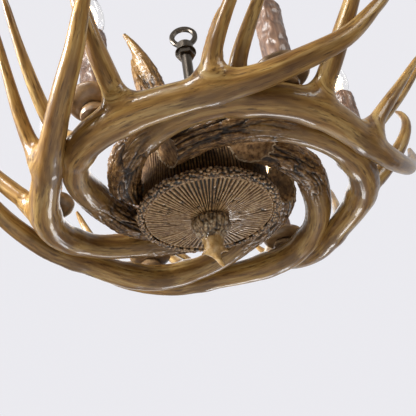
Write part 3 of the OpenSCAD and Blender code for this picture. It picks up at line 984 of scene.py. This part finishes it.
def spun(name, outline, steps):
    """Spins a closed outline of (radius, height) points about the upright axis."""
    deselect()
    bpy.ops.mesh.primitive_circle_add(vertices=len(outline), fill_type="NOTHING", location=(0, 0, 0))
    o = bpy.context.object
    o.name = name
    o.data.name = name
    for v, (r, z) in zip(o.data.vertices, outline):
        v.co = (r, 0, z)
    bpy.ops.object.mode_set(mode="EDIT")
    bpy.ops.mesh.select_all(action="SELECT")
    bpy.ops.mesh.spin(steps=steps, angle=2 * math.pi, center=(0, 0, 0), axis=(0, 0, 1))
    bpy.ops.mesh.select_all(action="SELECT")
    bpy.ops.mesh.remove_doubles(threshold=WELD)
    bpy.ops.mesh.delete_loose()
    bpy.ops.mesh.select_all(action="SELECT")
    bpy.ops.mesh.normals_make_consistent(inside=False)
    bpy.ops.object.mode_set(mode="OBJECT")
    bpy.ops.object.shade_smooth()
    return o


print("lathe ready")

# %% [markdown]
# ## Relief on round pieces
# An outline's long stretches get more points, or relief would have nothing to move. Relief is then
# pushed away from the axis or straight up. Along the normals it could go too, but near a sharp
# edge those lean outwards. `on_ring` places noise on a circle, so that it meets itself again.

# %% Round helpers
def rows_between(points, pitch):
    """More points along an outline, about pitch apart."""
    out = [points[0]]
    for (r0, z0), (r1, z1) in zip(points, points[1:]):
        n = max(1, round(math.hypot(r1 - r0, z1 - z0) / pitch))
        out += [(r0 + (r1 - r0) * k / n, z0 + (z1 - z0) * k / n) for k in range(1, n + 1)]
    return out


def raised(rows, height):
    return [(r, height + z) for r, z in rows]


def round_about(co):
    """Each point's turn, distance from the axis and height."""
    return np.arctan2(co[:, 1], co[:, 0]), np.hypot(co[:, 0], co[:, 1]), co[:, 2]


def push(o, out=None, rise=None):
    """Moves points away from the axis by out, and up by rise."""
    co = points_of(o)
    a, r, z = round_about(co)
    if out is not None:
        co[:, 0] += np.cos(a) * out
        co[:, 1] += np.sin(a) * out
    if rise is not None:
        co[:, 2] += rise
    move_points(o, co)


def on_ring(a, r, z, size, loops=1.0):
    return np.column_stack((np.cos(a) * loops * r, np.sin(a) * loops * r, z)) / size


print("round helpers ready")

# %% [markdown]
# ## Hub and finial finishes
# The hub is cast and painted like the burr at an antler's foot. One finish for all of it would
# look flat, and five separate ones would drift apart. So one recipe, with small spots, larger dark
# patches and painted shade in the hollows, takes three tones and a gloss for each part. The drum is
# dull and dark, partly as painted shade, and the pebbles and the knob catch the light.

# %% Hub finishes
def burr_finish(name, low, middle, high, roughness, coat):
    mat = new_finish(name, roughness, coat)
    spots = clouds(mat, place_of(mat), scale=200, detail=4, rough=0.55)
    dark = scaled(mat, clouds(mat, place_of(mat), scale=32, detail=2), 0.45, 0.68, 0.0, 0.45)
    colour = mixed(mat, dark, tones(mat, spots, [(0.32, low), (0.5, middle), (0.7, high)]), low)
    # Painted shade: `hollow` darkens grooves, gaps and slots towards near black.
    feed(mat, "Base Color", mixed(mat, kept(mat, "hollow"), colour, PAINTED_SHADE_BLACK))
    bumped(mat, spots, 0.0004, 0.25)
    return mat


gill_finish = burr_finish(
    "gill_finish", (0.19, 0.097, 0.038), (0.39, 0.235, 0.105), (0.56, 0.4, 0.22), 0.32, 0.3
)
pebble_finish = burr_finish(
    "pebble_finish", (0.14, 0.066, 0.028), (0.39, 0.225, 0.1), (0.7, 0.52, 0.31), 0.28, 0.5
)
# Partly painted shade: the drum's tones are its own dark bark, made darker still to stand in for the shade
# it sits in.
drum_finish = burr_finish(
    "drum_finish", (0.045, 0.02, 0.007), (0.135, 0.068, 0.023), (0.23, 0.132, 0.05), 0.6, 0.0
)
fix(drum_finish, "Specular IOR Level", 0.2)
knob_finish = burr_finish(
    "knob_finish", (0.12, 0.062, 0.026), (0.42, 0.27, 0.13), (0.82, 0.7, 0.5), 0.28, 0.6
)
spike_finish = burr_finish(
    "spike_finish", (0.36, 0.19, 0.06), (0.58, 0.36, 0.13), (0.7, 0.5, 0.25), 0.32, 0.4
)
print("hub finishes ready")

# %% [markdown]
# ## The gilled disc
# The disc that closes the drum from below looks like a mushroom's underside: gills run out from
# the middle, and fork once on the way so that they stay close. Cutters copied round in a circle
# would make them all alike. Here the turn about the axis is counted in gills, with a little drift
# from noise, and every whole number is a groove. Half as many run near the middle.

# %% Gills
DRUM_R = 0.088
GILLS = 88
STEPS_PER_GILL = 12
ROD_R = 0.0042

under_rows = [(DRUM_R * f, DISC_Z - 0.004 - 0.008 * (1 - f * f)) for f in np.linspace(0.05, 0.985, 38)]
disc_rows = under_rows + [(DRUM_R, DISC_Z - 0.003), (DRUM_R, DISC_Z - 0.0002), (ROD_R, DISC_Z - 0.0002)]
disc = spun("gilled_disc", disc_rows, GILLS * STEPS_PER_GILL)
co = points_of(disc)
a, r, z = round_about(co)
share = r / DRUM_R
under = (z < DISC_Z - 0.0035) * 1.0
drift = 0.32 * ripple(on_ring(a, 1, share * 1.2, 1, 9), 31)
drift += 0.12 * ripple(on_ring(a, 1, share * 4, 1, 24), 32)
turn = a * GILLS / (2 * math.pi) + drift
edge_gap = np.abs(turn % 1 - 0.5) * 2
wide_gap = np.abs((turn / 2) % 1 - 0.5) * 2
fork = between(share + 0.14 * ripple(on_ring(a, 1, share, 1, 11), 33), 0.36, 0.44)
groove = between(edge_gap, 0.4, 0.68) * fork + between(wide_gap, 0.62, 0.84) * (1 - fork)
fade = between(share, 0.2, 0.3) * (1 - between(share, 0.96, 0.98))
print("disc points:", len(co))

# %% [markdown]
# ## Pits among the gills
# Old gills are pecked with small pits, darkened with painted shade. They are strewn at random, with
# a fixed seed so that the scene comes out the same each time. Gills and pits are then cut in one
# move, and the same numbers say where painted shade darkens the grooves and pits.

# %% Pits
GILL_DEPTH = 0.0034
GILL_WAVE = 0.0003
PITS = 44
PIT_DEPTH = 0.0018

draw = np.random.default_rng(9)
pit = np.zeros(len(co))
for _ in range(PITS):
    way, far, size = draw.uniform((0, 0.4, 0.0013), (2 * math.pi, 0.9, 0.0032))
    pit_x = DRUM_R * far * math.cos(way)
    pit_y = DRUM_R * far * math.sin(way)
    gap = np.hypot(co[:, 0] - pit_x, co[:, 1] - pit_y)
    pit = np.maximum(pit, 1 - between(gap / size, 0.45, 1))
wave = ripple(on_ring(a, r, z, 0.006), 35)
push(disc, rise=under * (GILL_DEPTH * groove * fade + PIT_DEPTH * pit - GILL_WAVE * wave * fade))
# Painted shade: the gill grooves and pits are darkened to near black.
note(disc, "hollow", np.clip(under * (groove * fade * 0.96 + 0.9 * pit), 0, DEEPEST_PAINTED_SHADE))
disc.data.materials.append(gill_finish)
ready(disc, "fixture", "gill_resin", "hub_disc")
print("pits:", PITS)

# %% [markdown]
# ## The pebbled rim
# Round the disc's edge sits a ring of small knobs, like the pearls of an antler's burr. Hundreds
# of little spheres would be one way, but they would need welding to the ring. Here the ring's own
# skin bulges instead. First the pebbles' centres are drawn at random from its points, and kept
# only if they don't crowd their neighbours.

# %% Pebble places
RIM_STEPS = 860
PEBBLE_TRIES = 9000
SMALL_PEBBLE = 0.0021
LARGE_PEBBLE = 0.0037
CROWDING = 0.82
RIM_BAR = [
    (DRUM_R + 0.0002, -0.0052),
    (0.0905, -0.0068),
    (0.0955, -0.0064),
    (0.0986, -0.0035),
    (0.0993, 0.001),
    (0.098, 0.0055),
    (0.094, 0.0085),
    (DRUM_R + 0.0002, 0.0095),
]
rim = spun("pebbled_rim", rows_between(raised(RIM_BAR, DISC_Z), 0.0008), RIM_STEPS)
co = points_of(rim)
draw = np.random.default_rng(5)
centres = []
radii = []
for spot in co[draw.integers(len(co), size=PEBBLE_TRIES)]:
    radius = draw.uniform(SMALL_PEBBLE, LARGE_PEBBLE)
    room = (np.array(radii) + radius) * CROWDING
    if not centres or (np.linalg.norm(np.array(centres) - spot, axis=1) > room).all():
        centres.append(spot)
        radii.append(radius)
print("pebbles:", len(centres))

# %% [markdown]
# ## Pebbles as domes
# Now each point of the ring looks for the three nearest centres and takes the highest dome that
# covers it. The whole ring is lowered a little too, so that the domes rise only just past the
# fixture's plain ring. Between them the painted shade is darkest, as if the gaps lay in shadow.

# %% Pebble domes
DOME_RISE = 0.0036
RING_DROP = 0.0025

pebbles = kdtree.KDTree(len(centres))
for k, spot in enumerate(centres):
    pebbles.insert(spot, k)
pebbles.balance()
dome = np.zeros(len(co))
for n, p in enumerate(co):
    for spot, k, gap in pebbles.find_n(p, 3):
        if gap < radii[k]:
            dome[n] = max(dome[n], math.sqrt(1 - (gap / radii[k]) ** 2) * radii[k] / LARGE_PEBBLE)
move_points(rim, co + points_of(rim, "normal") * (DOME_RISE * dome - RING_DROP)[:, None])
# Painted shade: the lower a point lies between domes, the nearer to black it is painted.
note(rim, "hollow", np.clip(1.5 - 2.6 * dome, 0, DEEPEST_PAINTED_SHADE))
rim.data.materials.append(pebble_finish)
ready(rim, "fixture", "bark_resin", "hub_rim")
print("highest dome:", round(float(dome.max()), 3))

# %% [markdown]
# ## The ridged drum
# The drum's wall is carved with close upright ridges, like the bark of a young tree. Separate
# slats in an array would be straight and alike. So they are cut the way the gills are, by counting
# the turn in slats, and a wandering noise bends them. Only the outer wall is cut.

# %% Ridged drum
DRUM_STEPS = 1320
SLATS = 132
SLAT_DEPTH = 0.0026
SLAT_GRAIN = 0.0004
WALL_IN = 0.0805
DRUM_FOOT = 0.001
DRUM_H = 0.0835

wall = [(WALL_IN, DRUM_FOOT), (DRUM_R, DRUM_FOOT), (DRUM_R, DRUM_H), (WALL_IN, DRUM_H)]
wall.append(wall[0])
drum = spun("ridged_drum", rows_between(raised(wall, DISC_Z), 0.004)[:-1], DRUM_STEPS)
a, r, z = round_about(points_of(drum))
outer = (r > DRUM_R - 0.0002) * 1.0
wander = 0.8 * ripple(on_ring(a, 1, z / 0.07, 1, 5), 41)
wander += 0.25 * ripple(on_ring(a, 1, z / 0.02, 1, 16), 42)
slat = np.abs((a * SLATS / (2 * math.pi) + wander) % 1 - 0.5) * 2
slot_cut = between(slat, 0.45, 0.8)
push(drum, out=outer * (SLAT_GRAIN * ripple(on_ring(a, r, z, 0.005), 43) - SLAT_DEPTH * slot_cut))
# Painted shade: the cut slots between the ridges are darkened to near black.
note(drum, "hollow", np.clip(outer * slot_cut * 0.97, 0, DEEPEST_PAINTED_SHADE))
drum.data.materials.append(drum_finish)
ready(drum, "fixture", "bark_resin", "hub_shell")
print("slats:", SLATS)

# %% [markdown]
# ## The cover plate
# A thin bark plate closes the drum on top. It is seen from above only. A flat disc with a bump
# would do from afar, but near the crown antlers its cracks have to be real. They wind over the
# top and fade towards the hole for the stem.

# %% Cover plate
STEM_HOLE = 0.0087
LID_STEPS = 300
LID_CRACK = 0.0012
LID_EDGE = [
    (STEM_HOLE, 0.0841),
    (0.0905, 0.0841),
    (0.091, 0.0862),
    (0.088, 0.0886),
    (STEM_HOLE, 0.0886),
    (STEM_HOLE, 0.0841),
]
lid = spun("bark_cover", rows_between(raised(LID_EDGE, DISC_Z), 0.002)[:-1], LID_STEPS)
a, r, z = round_about(points_of(lid))
lid_cut = ridge(ripple(on_ring(a, r, z, 0.009), 51), 0.25)
lid_top = (z > DISC_Z + 0.088) * between(r, 0.012, 0.018)
push(lid, rise=-LID_CRACK * lid_cut * lid_top)
# Painted shade: the cracks on top are darkened.
note(lid, "hollow", lid_cut * lid_top * 0.85)
lid.data.materials.append(drum_finish)
ready(lid, "fixture", "bark_resin", "hub_cover")
print("cover faces:", len(lid.data.polygons))

# %% [markdown]
# ## The finial
# The burr under the disc grows into a short tan spike with two small points. A lathe could make
# the knob, but not the bent tip and the points, so it is planned like an antler, from three limbs:
# the knob with its spike, given as rows of shift, height and half width, and a prong on each side.

# %% Finial limbs
PRONG_POINTS = 8
PRONG_FROM = 0.004
PRONG_LENGTH = 0.0135
PRONG_Z = 0.0585
PRONG_DROOP = 0.0035
PRONG_W = (0.0042, 0.0012)
PRONG_ALONG = 0.047
KNOB_ROWS = [
    (0, -0.0126, 0.0238),
    (0, -0.016, 0.0262),
    (0, -0.021, 0.0266),
    (0, -0.028, 0.0242),
    (0, -0.036, 0.019),
    (0, -0.044, 0.0142),
    (0, -0.052, 0.0128),
    (0, -0.059, 0.0116),
    (0.0012, -0.065, 0.0066),
    (0.0036, -0.072, 0.0042),
    (0.007, -0.079, 0.0034),
    (0.009, -0.0835, 0.0018),
]
knob = smooth_row([(x, 0, DISC_Z + h, w) for x, h, w in KNOB_ROWS], 4)
finial_limbs = [(knob[:, :3], knob[:, 3], *limb_frame(knob[:, :3], 0))]
reach = np.linspace(0, 1, PRONG_POINTS)
for side in (-1, 1):
    prong_x = side * (PRONG_FROM + PRONG_LENGTH * reach)
    prong = np.column_stack((prong_x, 0 * reach, DISC_Z - PRONG_Z - PRONG_DROOP * reach**2))
    prong_w = np.linspace(*PRONG_W, PRONG_POINTS)
    finial_limbs.append((prong, prong_w, *limb_frame(prong, PRONG_ALONG)))
print("finial limbs:", len(finial_limbs))

# %% [markdown]
# ## The finial's skin
# The limbs get one skin, settled and carved like an antler's, rough on the knob and smooth on the
# spike. It turns on its rod, so its top is pressed flat where it meets the disc. Two material
# slots on one mesh give the knob and the spike their own finishes.

# %% Finial skin
FINIAL_TOP = DISC_Z - 0.0126
SPIKE_FROM = DISC_Z - 0.043
FINIAL_VOXEL = 0.0009
FINIAL_WEB = 0.006
FINIAL_SEED = 61

finial = skin("burr_finial", finial_limbs, FINIAL_VOXEL)
finial.data.materials.append(knob_finish)
finial.data.materials.append(spike_finish)
finial_along, finial_ring = settle(finial, finial_limbs, FINIAL_WEB)
finial_rough = between(points_of(finial)[:, 2] - DISC_Z, -0.05, -0.036)
# Painted shade: carve darkens the knob's grooves, at 0.85 of full strength.
carve(finial, finial_along, finial_ring, finial_rough, FINIAL_SEED, depth=0.7, groove_shade=0.85)
co = points_of(finial)
co[:, 2] = np.minimum(co[:, 2], FINIAL_TOP)
move_points(finial, co)
for f in finial.data.polygons:
    f.material_index = 0 if f.center.z > SPIKE_FROM else 1
ready(finial, "finial", "bark_resin", "finial")
print("finial lowest:", round(float(points_of(finial)[:, 2].min()), 4))

# %% [markdown]
# ## Sleeve and dish finishes
# The candle sleeves are cast as dripped wax, painted brown with streaks that run down, and the
# dishes are smooth horn-coloured resin. Both use the noise of the horn finish, with the
# coordinates stretched upright for the sleeve and sideways for the dish.

# %% Sleeve and dish finishes
SLEEVE_TONES = [(0.3, (0.1, 0.052, 0.034)), (0.5, (0.18, 0.102, 0.066)), (0.72, (0.27, 0.165, 0.105))]
DISH_TONES = [(0.3, (0.09, 0.05, 0.025)), (0.5, (0.2, 0.12, 0.056)), (0.72, (0.34, 0.22, 0.11))]

sleeve_finish = new_finish("sleeve_finish", 0.4, coat=0.25)
sleeve_place = stretched(sleeve_finish, place_of(sleeve_finish), (0.004, 0.004, 0.03))
sleeve_streak = clouds(sleeve_finish, sleeve_place, detail=5)
sleeve_tone = tones(sleeve_finish, sleeve_streak, SLEEVE_TONES)
sleeve_shade_share = kept(sleeve_finish, "hollow")
# Painted shade: a near-black brown laid into the cracks and dents.
feed(sleeve_finish, "Base Color", mixed(sleeve_finish, sleeve_shade_share, sleeve_tone, (0.04, 0.022, 0.016)))
bumped(sleeve_finish, sleeve_streak, 0.0005, 0.4)

dish_finish = new_finish("dish_finish", 0.36, coat=0.3)
dish_place = stretched(dish_finish, place_of(dish_finish), (0.02, 0.02, 0.008))
dish_cloud = clouds(dish_finish, dish_place, detail=4)
dish_fine = clouds(dish_finish, place_of(dish_finish), scale=420, detail=3)
feed(dish_finish, "Base Color", tones(dish_finish, dish_cloud, DISH_TONES))
bumped(dish_finish, dish_fine, 0.0003, 0.25)
print("sleeve and dish finishes ready")

# %% [markdown]
# ## Glass and glow
# The bulbs are clear glass, lit. Glass is a shader that lets light through and bends it, so the
# wall has to be closed and have a thickness. The filament glows by itself: its emission is bright
# enough to look white-hot, yet too small to light the fixture. The glass post glows a little:
# painted light, standing in for the filament's light that the post catches.

# %% Glass and glow finishes
bulb_glass = new_finish("bulb_glass", 0.02)
fix(bulb_glass, "Transmission Weight", 1.0)
fix(bulb_glass, "IOR", 1.45)
glass_cloud = clouds(bulb_glass, place_of(bulb_glass), scale=60, detail=1)
glass_tone = tones(bulb_glass, glass_cloud, [(0.3, (0.96, 0.95, 0.92)), (0.7, (1, 1, 1))])
feed(bulb_glass, "Base Color", glass_tone)

glow = new_finish("filament_glow", 0.5)
fix(glow, "Emission Strength", 9.0)
glow_cloud = clouds(glow, place_of(glow), scale=500, detail=1)
glow_tone = tones(glow, glow_cloud, [(0.3, (1, 0.5, 0.16)), (0.7, (1, 0.72, 0.36))])
feed(glow, "Emission Color", glow_tone)
feed(glow, "Base Color", glow_tone)

# Painted glow: the post is no lamp; its faint emission stands in for the filament's light on it.
bulb_stem = new_finish("bulb_stem", 0.2)
fix(bulb_stem, "Emission Strength", 0.5)
fix(bulb_stem, "Emission Color", (1, 0.7, 0.4, 1))
stem_cloud = clouds(bulb_stem, place_of(bulb_stem), scale=300, detail=1)
stem_tone = tones(bulb_stem, stem_cloud, [(0.3, (0.7, 0.66, 0.6)), (0.7, (0.85, 0.82, 0.76))])
feed(bulb_stem, "Base Color", stem_tone)
print("glass and glow finishes ready")

# %% [markdown]
# ## One dish
# Under each candle a shallow dish catches the drips. A half ball with a solidify modifier is one
# way. On the lathe, two quarter arcs are drawn, the outer skin and the inner one, which sets lip
# and hole exactly. The rim then bends up and down a little, as a cast one is never quite flat.

# %% One dish
DISH_Z = 0.044
SLEEVE_Z = 0.0457
SLEEVE_H = 0.1218
GLASS_Z = 0.1676
POST_HOLE = 0.0052
DISH_STEPS = 72
LIP_BEND = 0.0006

quarter = np.linspace(0, math.pi / 2, 12)
dish_rows = [(POST_HOLE, 0), (0.012, 0)]
dish_rows += [(0.0175 + 0.0165 * math.sin(t), 0.013 * (1 - math.cos(t))) for t in quarter]
dish_rows += [(0.0334, 0.0131)]
dish_rows += [(0.0168 + 0.0156 * math.sin(t), 0.0017 + 0.0109 * (1 - math.cos(t))) for t in quarter[::-1]]
dish_rows += [(POST_HOLE, 0.0016)]
dish = spun("dish_model", raised(dish_rows, DISC_Z + DISH_Z), DISH_STEPS)
a, r, z = round_about(points_of(dish))
push(dish, rise=between(r, 0.02, 0.034) * LIP_BEND * (ripple(on_ring(a, 1, z * 0, 1, 2), 70) - 1))
dish.data.materials.append(dish_finish)
print("dish outline points:", len(dish_rows))

# %% [markdown]
# ## One sleeve
# Each candle stands on its dish as a short thick tube, which hides the lamp socket. Its outline is
# a straight wall with a rounded foot and a thick lip, spun like the dish. The lip could be a
# separate ring, but wax that has run down and set is one body with its candle.

# %% One sleeve
SLEEVE_R = 0.0175
SLEEVE_IN = 0.0157
SLEEVE_STEPS = 96
SLEEVE_EDGE = [
    (SLEEVE_IN, 0),
    (0.017, 0.0002),
    (SLEEVE_R, 0.003),
    (SLEEVE_R, 0.1),
    (0.0186, 0.109),
    (0.0184, 0.116),
    (0.0172, 0.1205),
    (0.0162, SLEEVE_H),
    (SLEEVE_IN, 0.119),
    (SLEEVE_IN, 0),
]
sleeve_foot = DISC_Z + SLEEVE_Z
sleeve_rows = raised(rows_between(SLEEVE_EDGE, 0.0018)[:-1], sleeve_foot)
sleeve = spun("sleeve_model", sleeve_rows, SLEEVE_STEPS)
print("sleeve points:", len(sleeve.data.vertices))

# %% [markdown]
# ## A hammered wall
# The sleeve looks hammered, with flat facets, drips under the lip and a few cracks. Facets could be
# cut one by one. Here points are thrown at random on its wall like the blows of a hammer: how far
# a point lies from the nearest blow is its height, so the blows' borders stand up as ridges.

# %% Hammer blows
TAPS = 90
FACET_H = 0.0009
DRIP_H = 0.0005
CRACK_DEPTH = 0.0005
DENT_DROP = 0.0008
LIP_SAG = 0.0022

a, r, z = round_about(points_of(sleeve))
h = (z - DISC_Z - SLEEVE_Z) / SLEEVE_H
skin_share = between(r, 0.0158, 0.0168)
draw = np.random.default_rng(12)
taps = kdtree.KDTree(TAPS)
for k in range(TAPS):
    way, level = draw.uniform((0, 0), (2 * math.pi, 1))
    taps.insert((SLEEVE_R * math.cos(way), SLEEVE_R * math.sin(way), sleeve_foot + SLEEVE_H * level), k)
taps.balance()
gaps = np.array([taps.find(p)[2] for p in points_of(sleeve)])
facets = between(gaps, 0.001, 0.0085) * 1.6 - 0.8
drips = ripple(on_ring(a, 1, h * 5, 1, 3.2) + 1, 91)
cracks = ridge(ripple(on_ring(a, 1, h * 4, 1, 4.5) + 1, 101), 0.16)
dents = FACET_H * facets + DRIP_H * drips * between(h, 0.55, 0.9) - CRACK_DEPTH * cracks - DENT_DROP
push(sleeve, out=dents * skin_share, rise=-LIP_SAG * between(h, 0.9, 1) * (0.5 + 0.5 * facets))
# Painted shade: cracks and the middles of the hammer dents are darkened as if shaded.
sleeve_painted_shade = cracks * 0.5 + 0.35 * (1 - between(gaps, 0.001, 0.006))
note(sleeve, "hollow", np.clip(sleeve_painted_shade, 0, 0.8) * skin_share)
sleeve.data.materials.append(sleeve_finish)
print("sleeve facets:", TAPS)

# %% [markdown]
# ## One bulb
# A candle bulb is a thin flame-shaped glass. A solid one would bend light like a lens. So its
# outer outline is a smooth curve, and the inner one is the same a little smaller, and the lathe
# makes both walls in one go. The shape is in shares of the bulb's radius and height.

# %% One bulb
BULB_R = 0.0164
BULB_H = 0.0758
WALL = 0.0008
TIP_WALL = 0.0009
TIP_R = 0.0014
SHOULDER = 0.06
BULB_SEAT = 0.0002
BULB_STEPS = 64
BULB_SHAPE = [
    (0.52, 0),
    (0.55, 0.03),
    (0.62, 0.07),
    (0.86, 0.17),
    (0.97, 0.27),
    (1, 0.36),
    (0.97, 0.47),
    (0.87, 0.6),
    (0.7, 0.73),
    (0.48, 0.85),
    (0.27, 0.94),
    (0.12, 0.985),
    (0, 0.998),
]
outer_wall = [(f * BULB_R, h * BULB_H) for f, h in smooth_row(BULB_SHAPE, 4)]
inner_wall = [(r - WALL, h - TIP_WALL * (h > SHOULDER)) for r, h in outer_wall if r > TIP_R]
bulb_rows = outer_wall + [(0, outer_wall[-1][1] - TIP_WALL)] + inner_wall[::-1]
bulb = spun("bulb_model", raised(bulb_rows, DISC_Z + GLASS_Z + BULB_SEAT), BULB_STEPS)
bulb.data.materials.append(bulb_glass)
print("bulb outline points:", len(bulb_rows))

# %% [markdown]
# ## One filament
# Inside the glass stands a post with eight thin strands that bow outwards, as in a filament bulb.
# Bare edges wouldn't render, so each strand is a thick curve, like the antlers' limbs. They are
# joined to the post as one piece, because they always move together.

# %% One filament
STRANDS = 8
STRAND_W = 0.00035
BOW_FROM = 0.014
BOW_H = 0.04

post_z = DISC_Z + GLASS_Z
bow_radii = (0.0022, 0.0052, 0.0066, 0.007, 0.0062, 0.0045, 0.0014)
strands = []
for k in range(STRANDS):
    t = 2 * math.pi * k / STRANDS
    levels = zip(np.linspace(0, 1, len(bow_radii)), bow_radii)
    bow = [(rad * math.cos(t), rad * math.sin(t), post_z + BOW_FROM + BOW_H * u) for u, rad in levels]
    strand = limb_curve("strand", bow, [STRAND_W] * len(bow))
    strand.data.materials.append(glow)
    strands.append(strand)
post_path = [(0, 0, post_z + u) for u in (0.0006, 0.01, 0.016, 0.052)]
post = limb_curve("post", post_path, [0.0042, 0.0032, 0.0011, 0.0006])
post.data.materials.append(bulb_stem)
pick(*strands, post)
bpy.ops.object.join()
filament = bpy.context.object
print("filament faces:", len(filament.data.polygons))

# %% [markdown]
# ## Six candles
# Dish, sleeve, bulb and filament are alike on all six arms, so each was modelled once and is now
# copied to its places, every copy with its own mesh. Each arm's copies are turned by another
# angle, so that the same dents never face the same way. Bulb and filament ride on the bulb's
# body and turn with it, and the rest is fixed.

# %% Six candles
CANDLE_TURN = 110
OWN_TURN = 47

for i in range(1, ARMS + 1):
    around = arm_turn(i, CANDLE_TURN)
    spot = Matrix.Translation((CANDLE_R * math.cos(around), CANDLE_R * math.sin(around), 0))
    own_turn = Matrix.Rotation(math.radians(OWN_TURN * i), 4, "Z")
    for model, name, body, slot, old in (
        (dish, "drip_dish", "fixture", "horn_resin", "candle_dish"),
        (sleeve, "candle_bark", "fixture", "sleeve", "candle_sleeve"),
        (bulb, "bulb_envelope", f"bulb_{i}", "glass", "bulb_glass"),
        (filament, "glowing_filament", f"bulb_{i}", "filament", "bulb_filament"),
    ):
        piece = copied(model, f"{name}_{i}")
        piece.data.transform(spot @ own_turn)
        ready(piece, body, slot, f"{old}_{i}")
for model in (dish, sleeve, bulb, filament):
    discard(model)
print("candles:", ARMS)

# %% [markdown]
# ## Metal and plastic
# The frame, screws, stem and lamp parts are already the right shape, so the fixture's own solids
# stay and only get a finish. Drawn steel has fine scratches along it, and brass dulls in patches.
# Both come from one recipe. The sockets and wire connectors are ivory plastic with a faint mottle.

# %% Metal and plastic finishes
def metal_finish(name, dark, light, roughness, size):
    mat = new_finish(name, roughness, metal=1.0)
    scratch = clouds(mat, stretched(mat, place_of(mat), size), detail=4, rough=0.7)
    dull = scaled(mat, clouds(mat, place_of(mat), scale=45, detail=3), 0.4, 0.7, 0.0, 0.6)
    feed(mat, "Base Color", mixed(mat, dull, tones(mat, scratch, [(0.35, dark), (0.65, light)]), dark))
    feed(mat, "Roughness", scaled(mat, scratch, 0.3, 0.7, roughness + 0.12, roughness - 0.05))
    bumped(mat, scratch, 0.0001, 0.2)
    return mat


def plastic_finish(name, dark, light):
    mat = new_finish(name, 0.45)
    cloud = clouds(mat, place_of(mat), scale=180, detail=4)
    feed(mat, "Base Color", tones(mat, cloud, [(0.3, dark), (0.7, light)]))
    bumped(mat, cloud, 0.0002, 0.2)
    return mat


STEEL_NODES = [
    "steel_frame",
    "finial_rod",
    "stem_tube",
    "stem_nuts",
    "stem_washers",
    "hanging_loop",
    "antler_screws",
    "crown_screws",
]
STEEL_SCRATCH = (0.0006, 0.0006, 0.03)
BRASS_SCRATCH = (0.001, 0.001, 0.004)
steel_finish = metal_finish("steel_finish", (0.1, 0.085, 0.07), (0.2, 0.17, 0.14), 0.34, STEEL_SCRATCH)
brass_finish = metal_finish("brass_finish", (0.4, 0.26, 0.09), (0.62, 0.45, 0.19), 0.28, BRASS_SCRATCH)
ivory_finish = plastic_finish("ivory_finish", (0.55, 0.52, 0.45), (0.68, 0.65, 0.58))
for mat, dressed in (
    (steel_finish, STEEL_NODES),
    (brass_finish, ["candle_posts", *[f"bulb_cap_{i}" for i in range(1, ARMS + 1)]]),
    (ivory_finish, ["wire_connectors", "lamp_sockets"]),
    (dish_finish, ["candle_bosses"]),
):
    for n in dressed:
        nodes[n].data.materials.clear()
        nodes[n].data.materials.append(mat)
    print(mat.name, "on", len(dressed), "nodes")
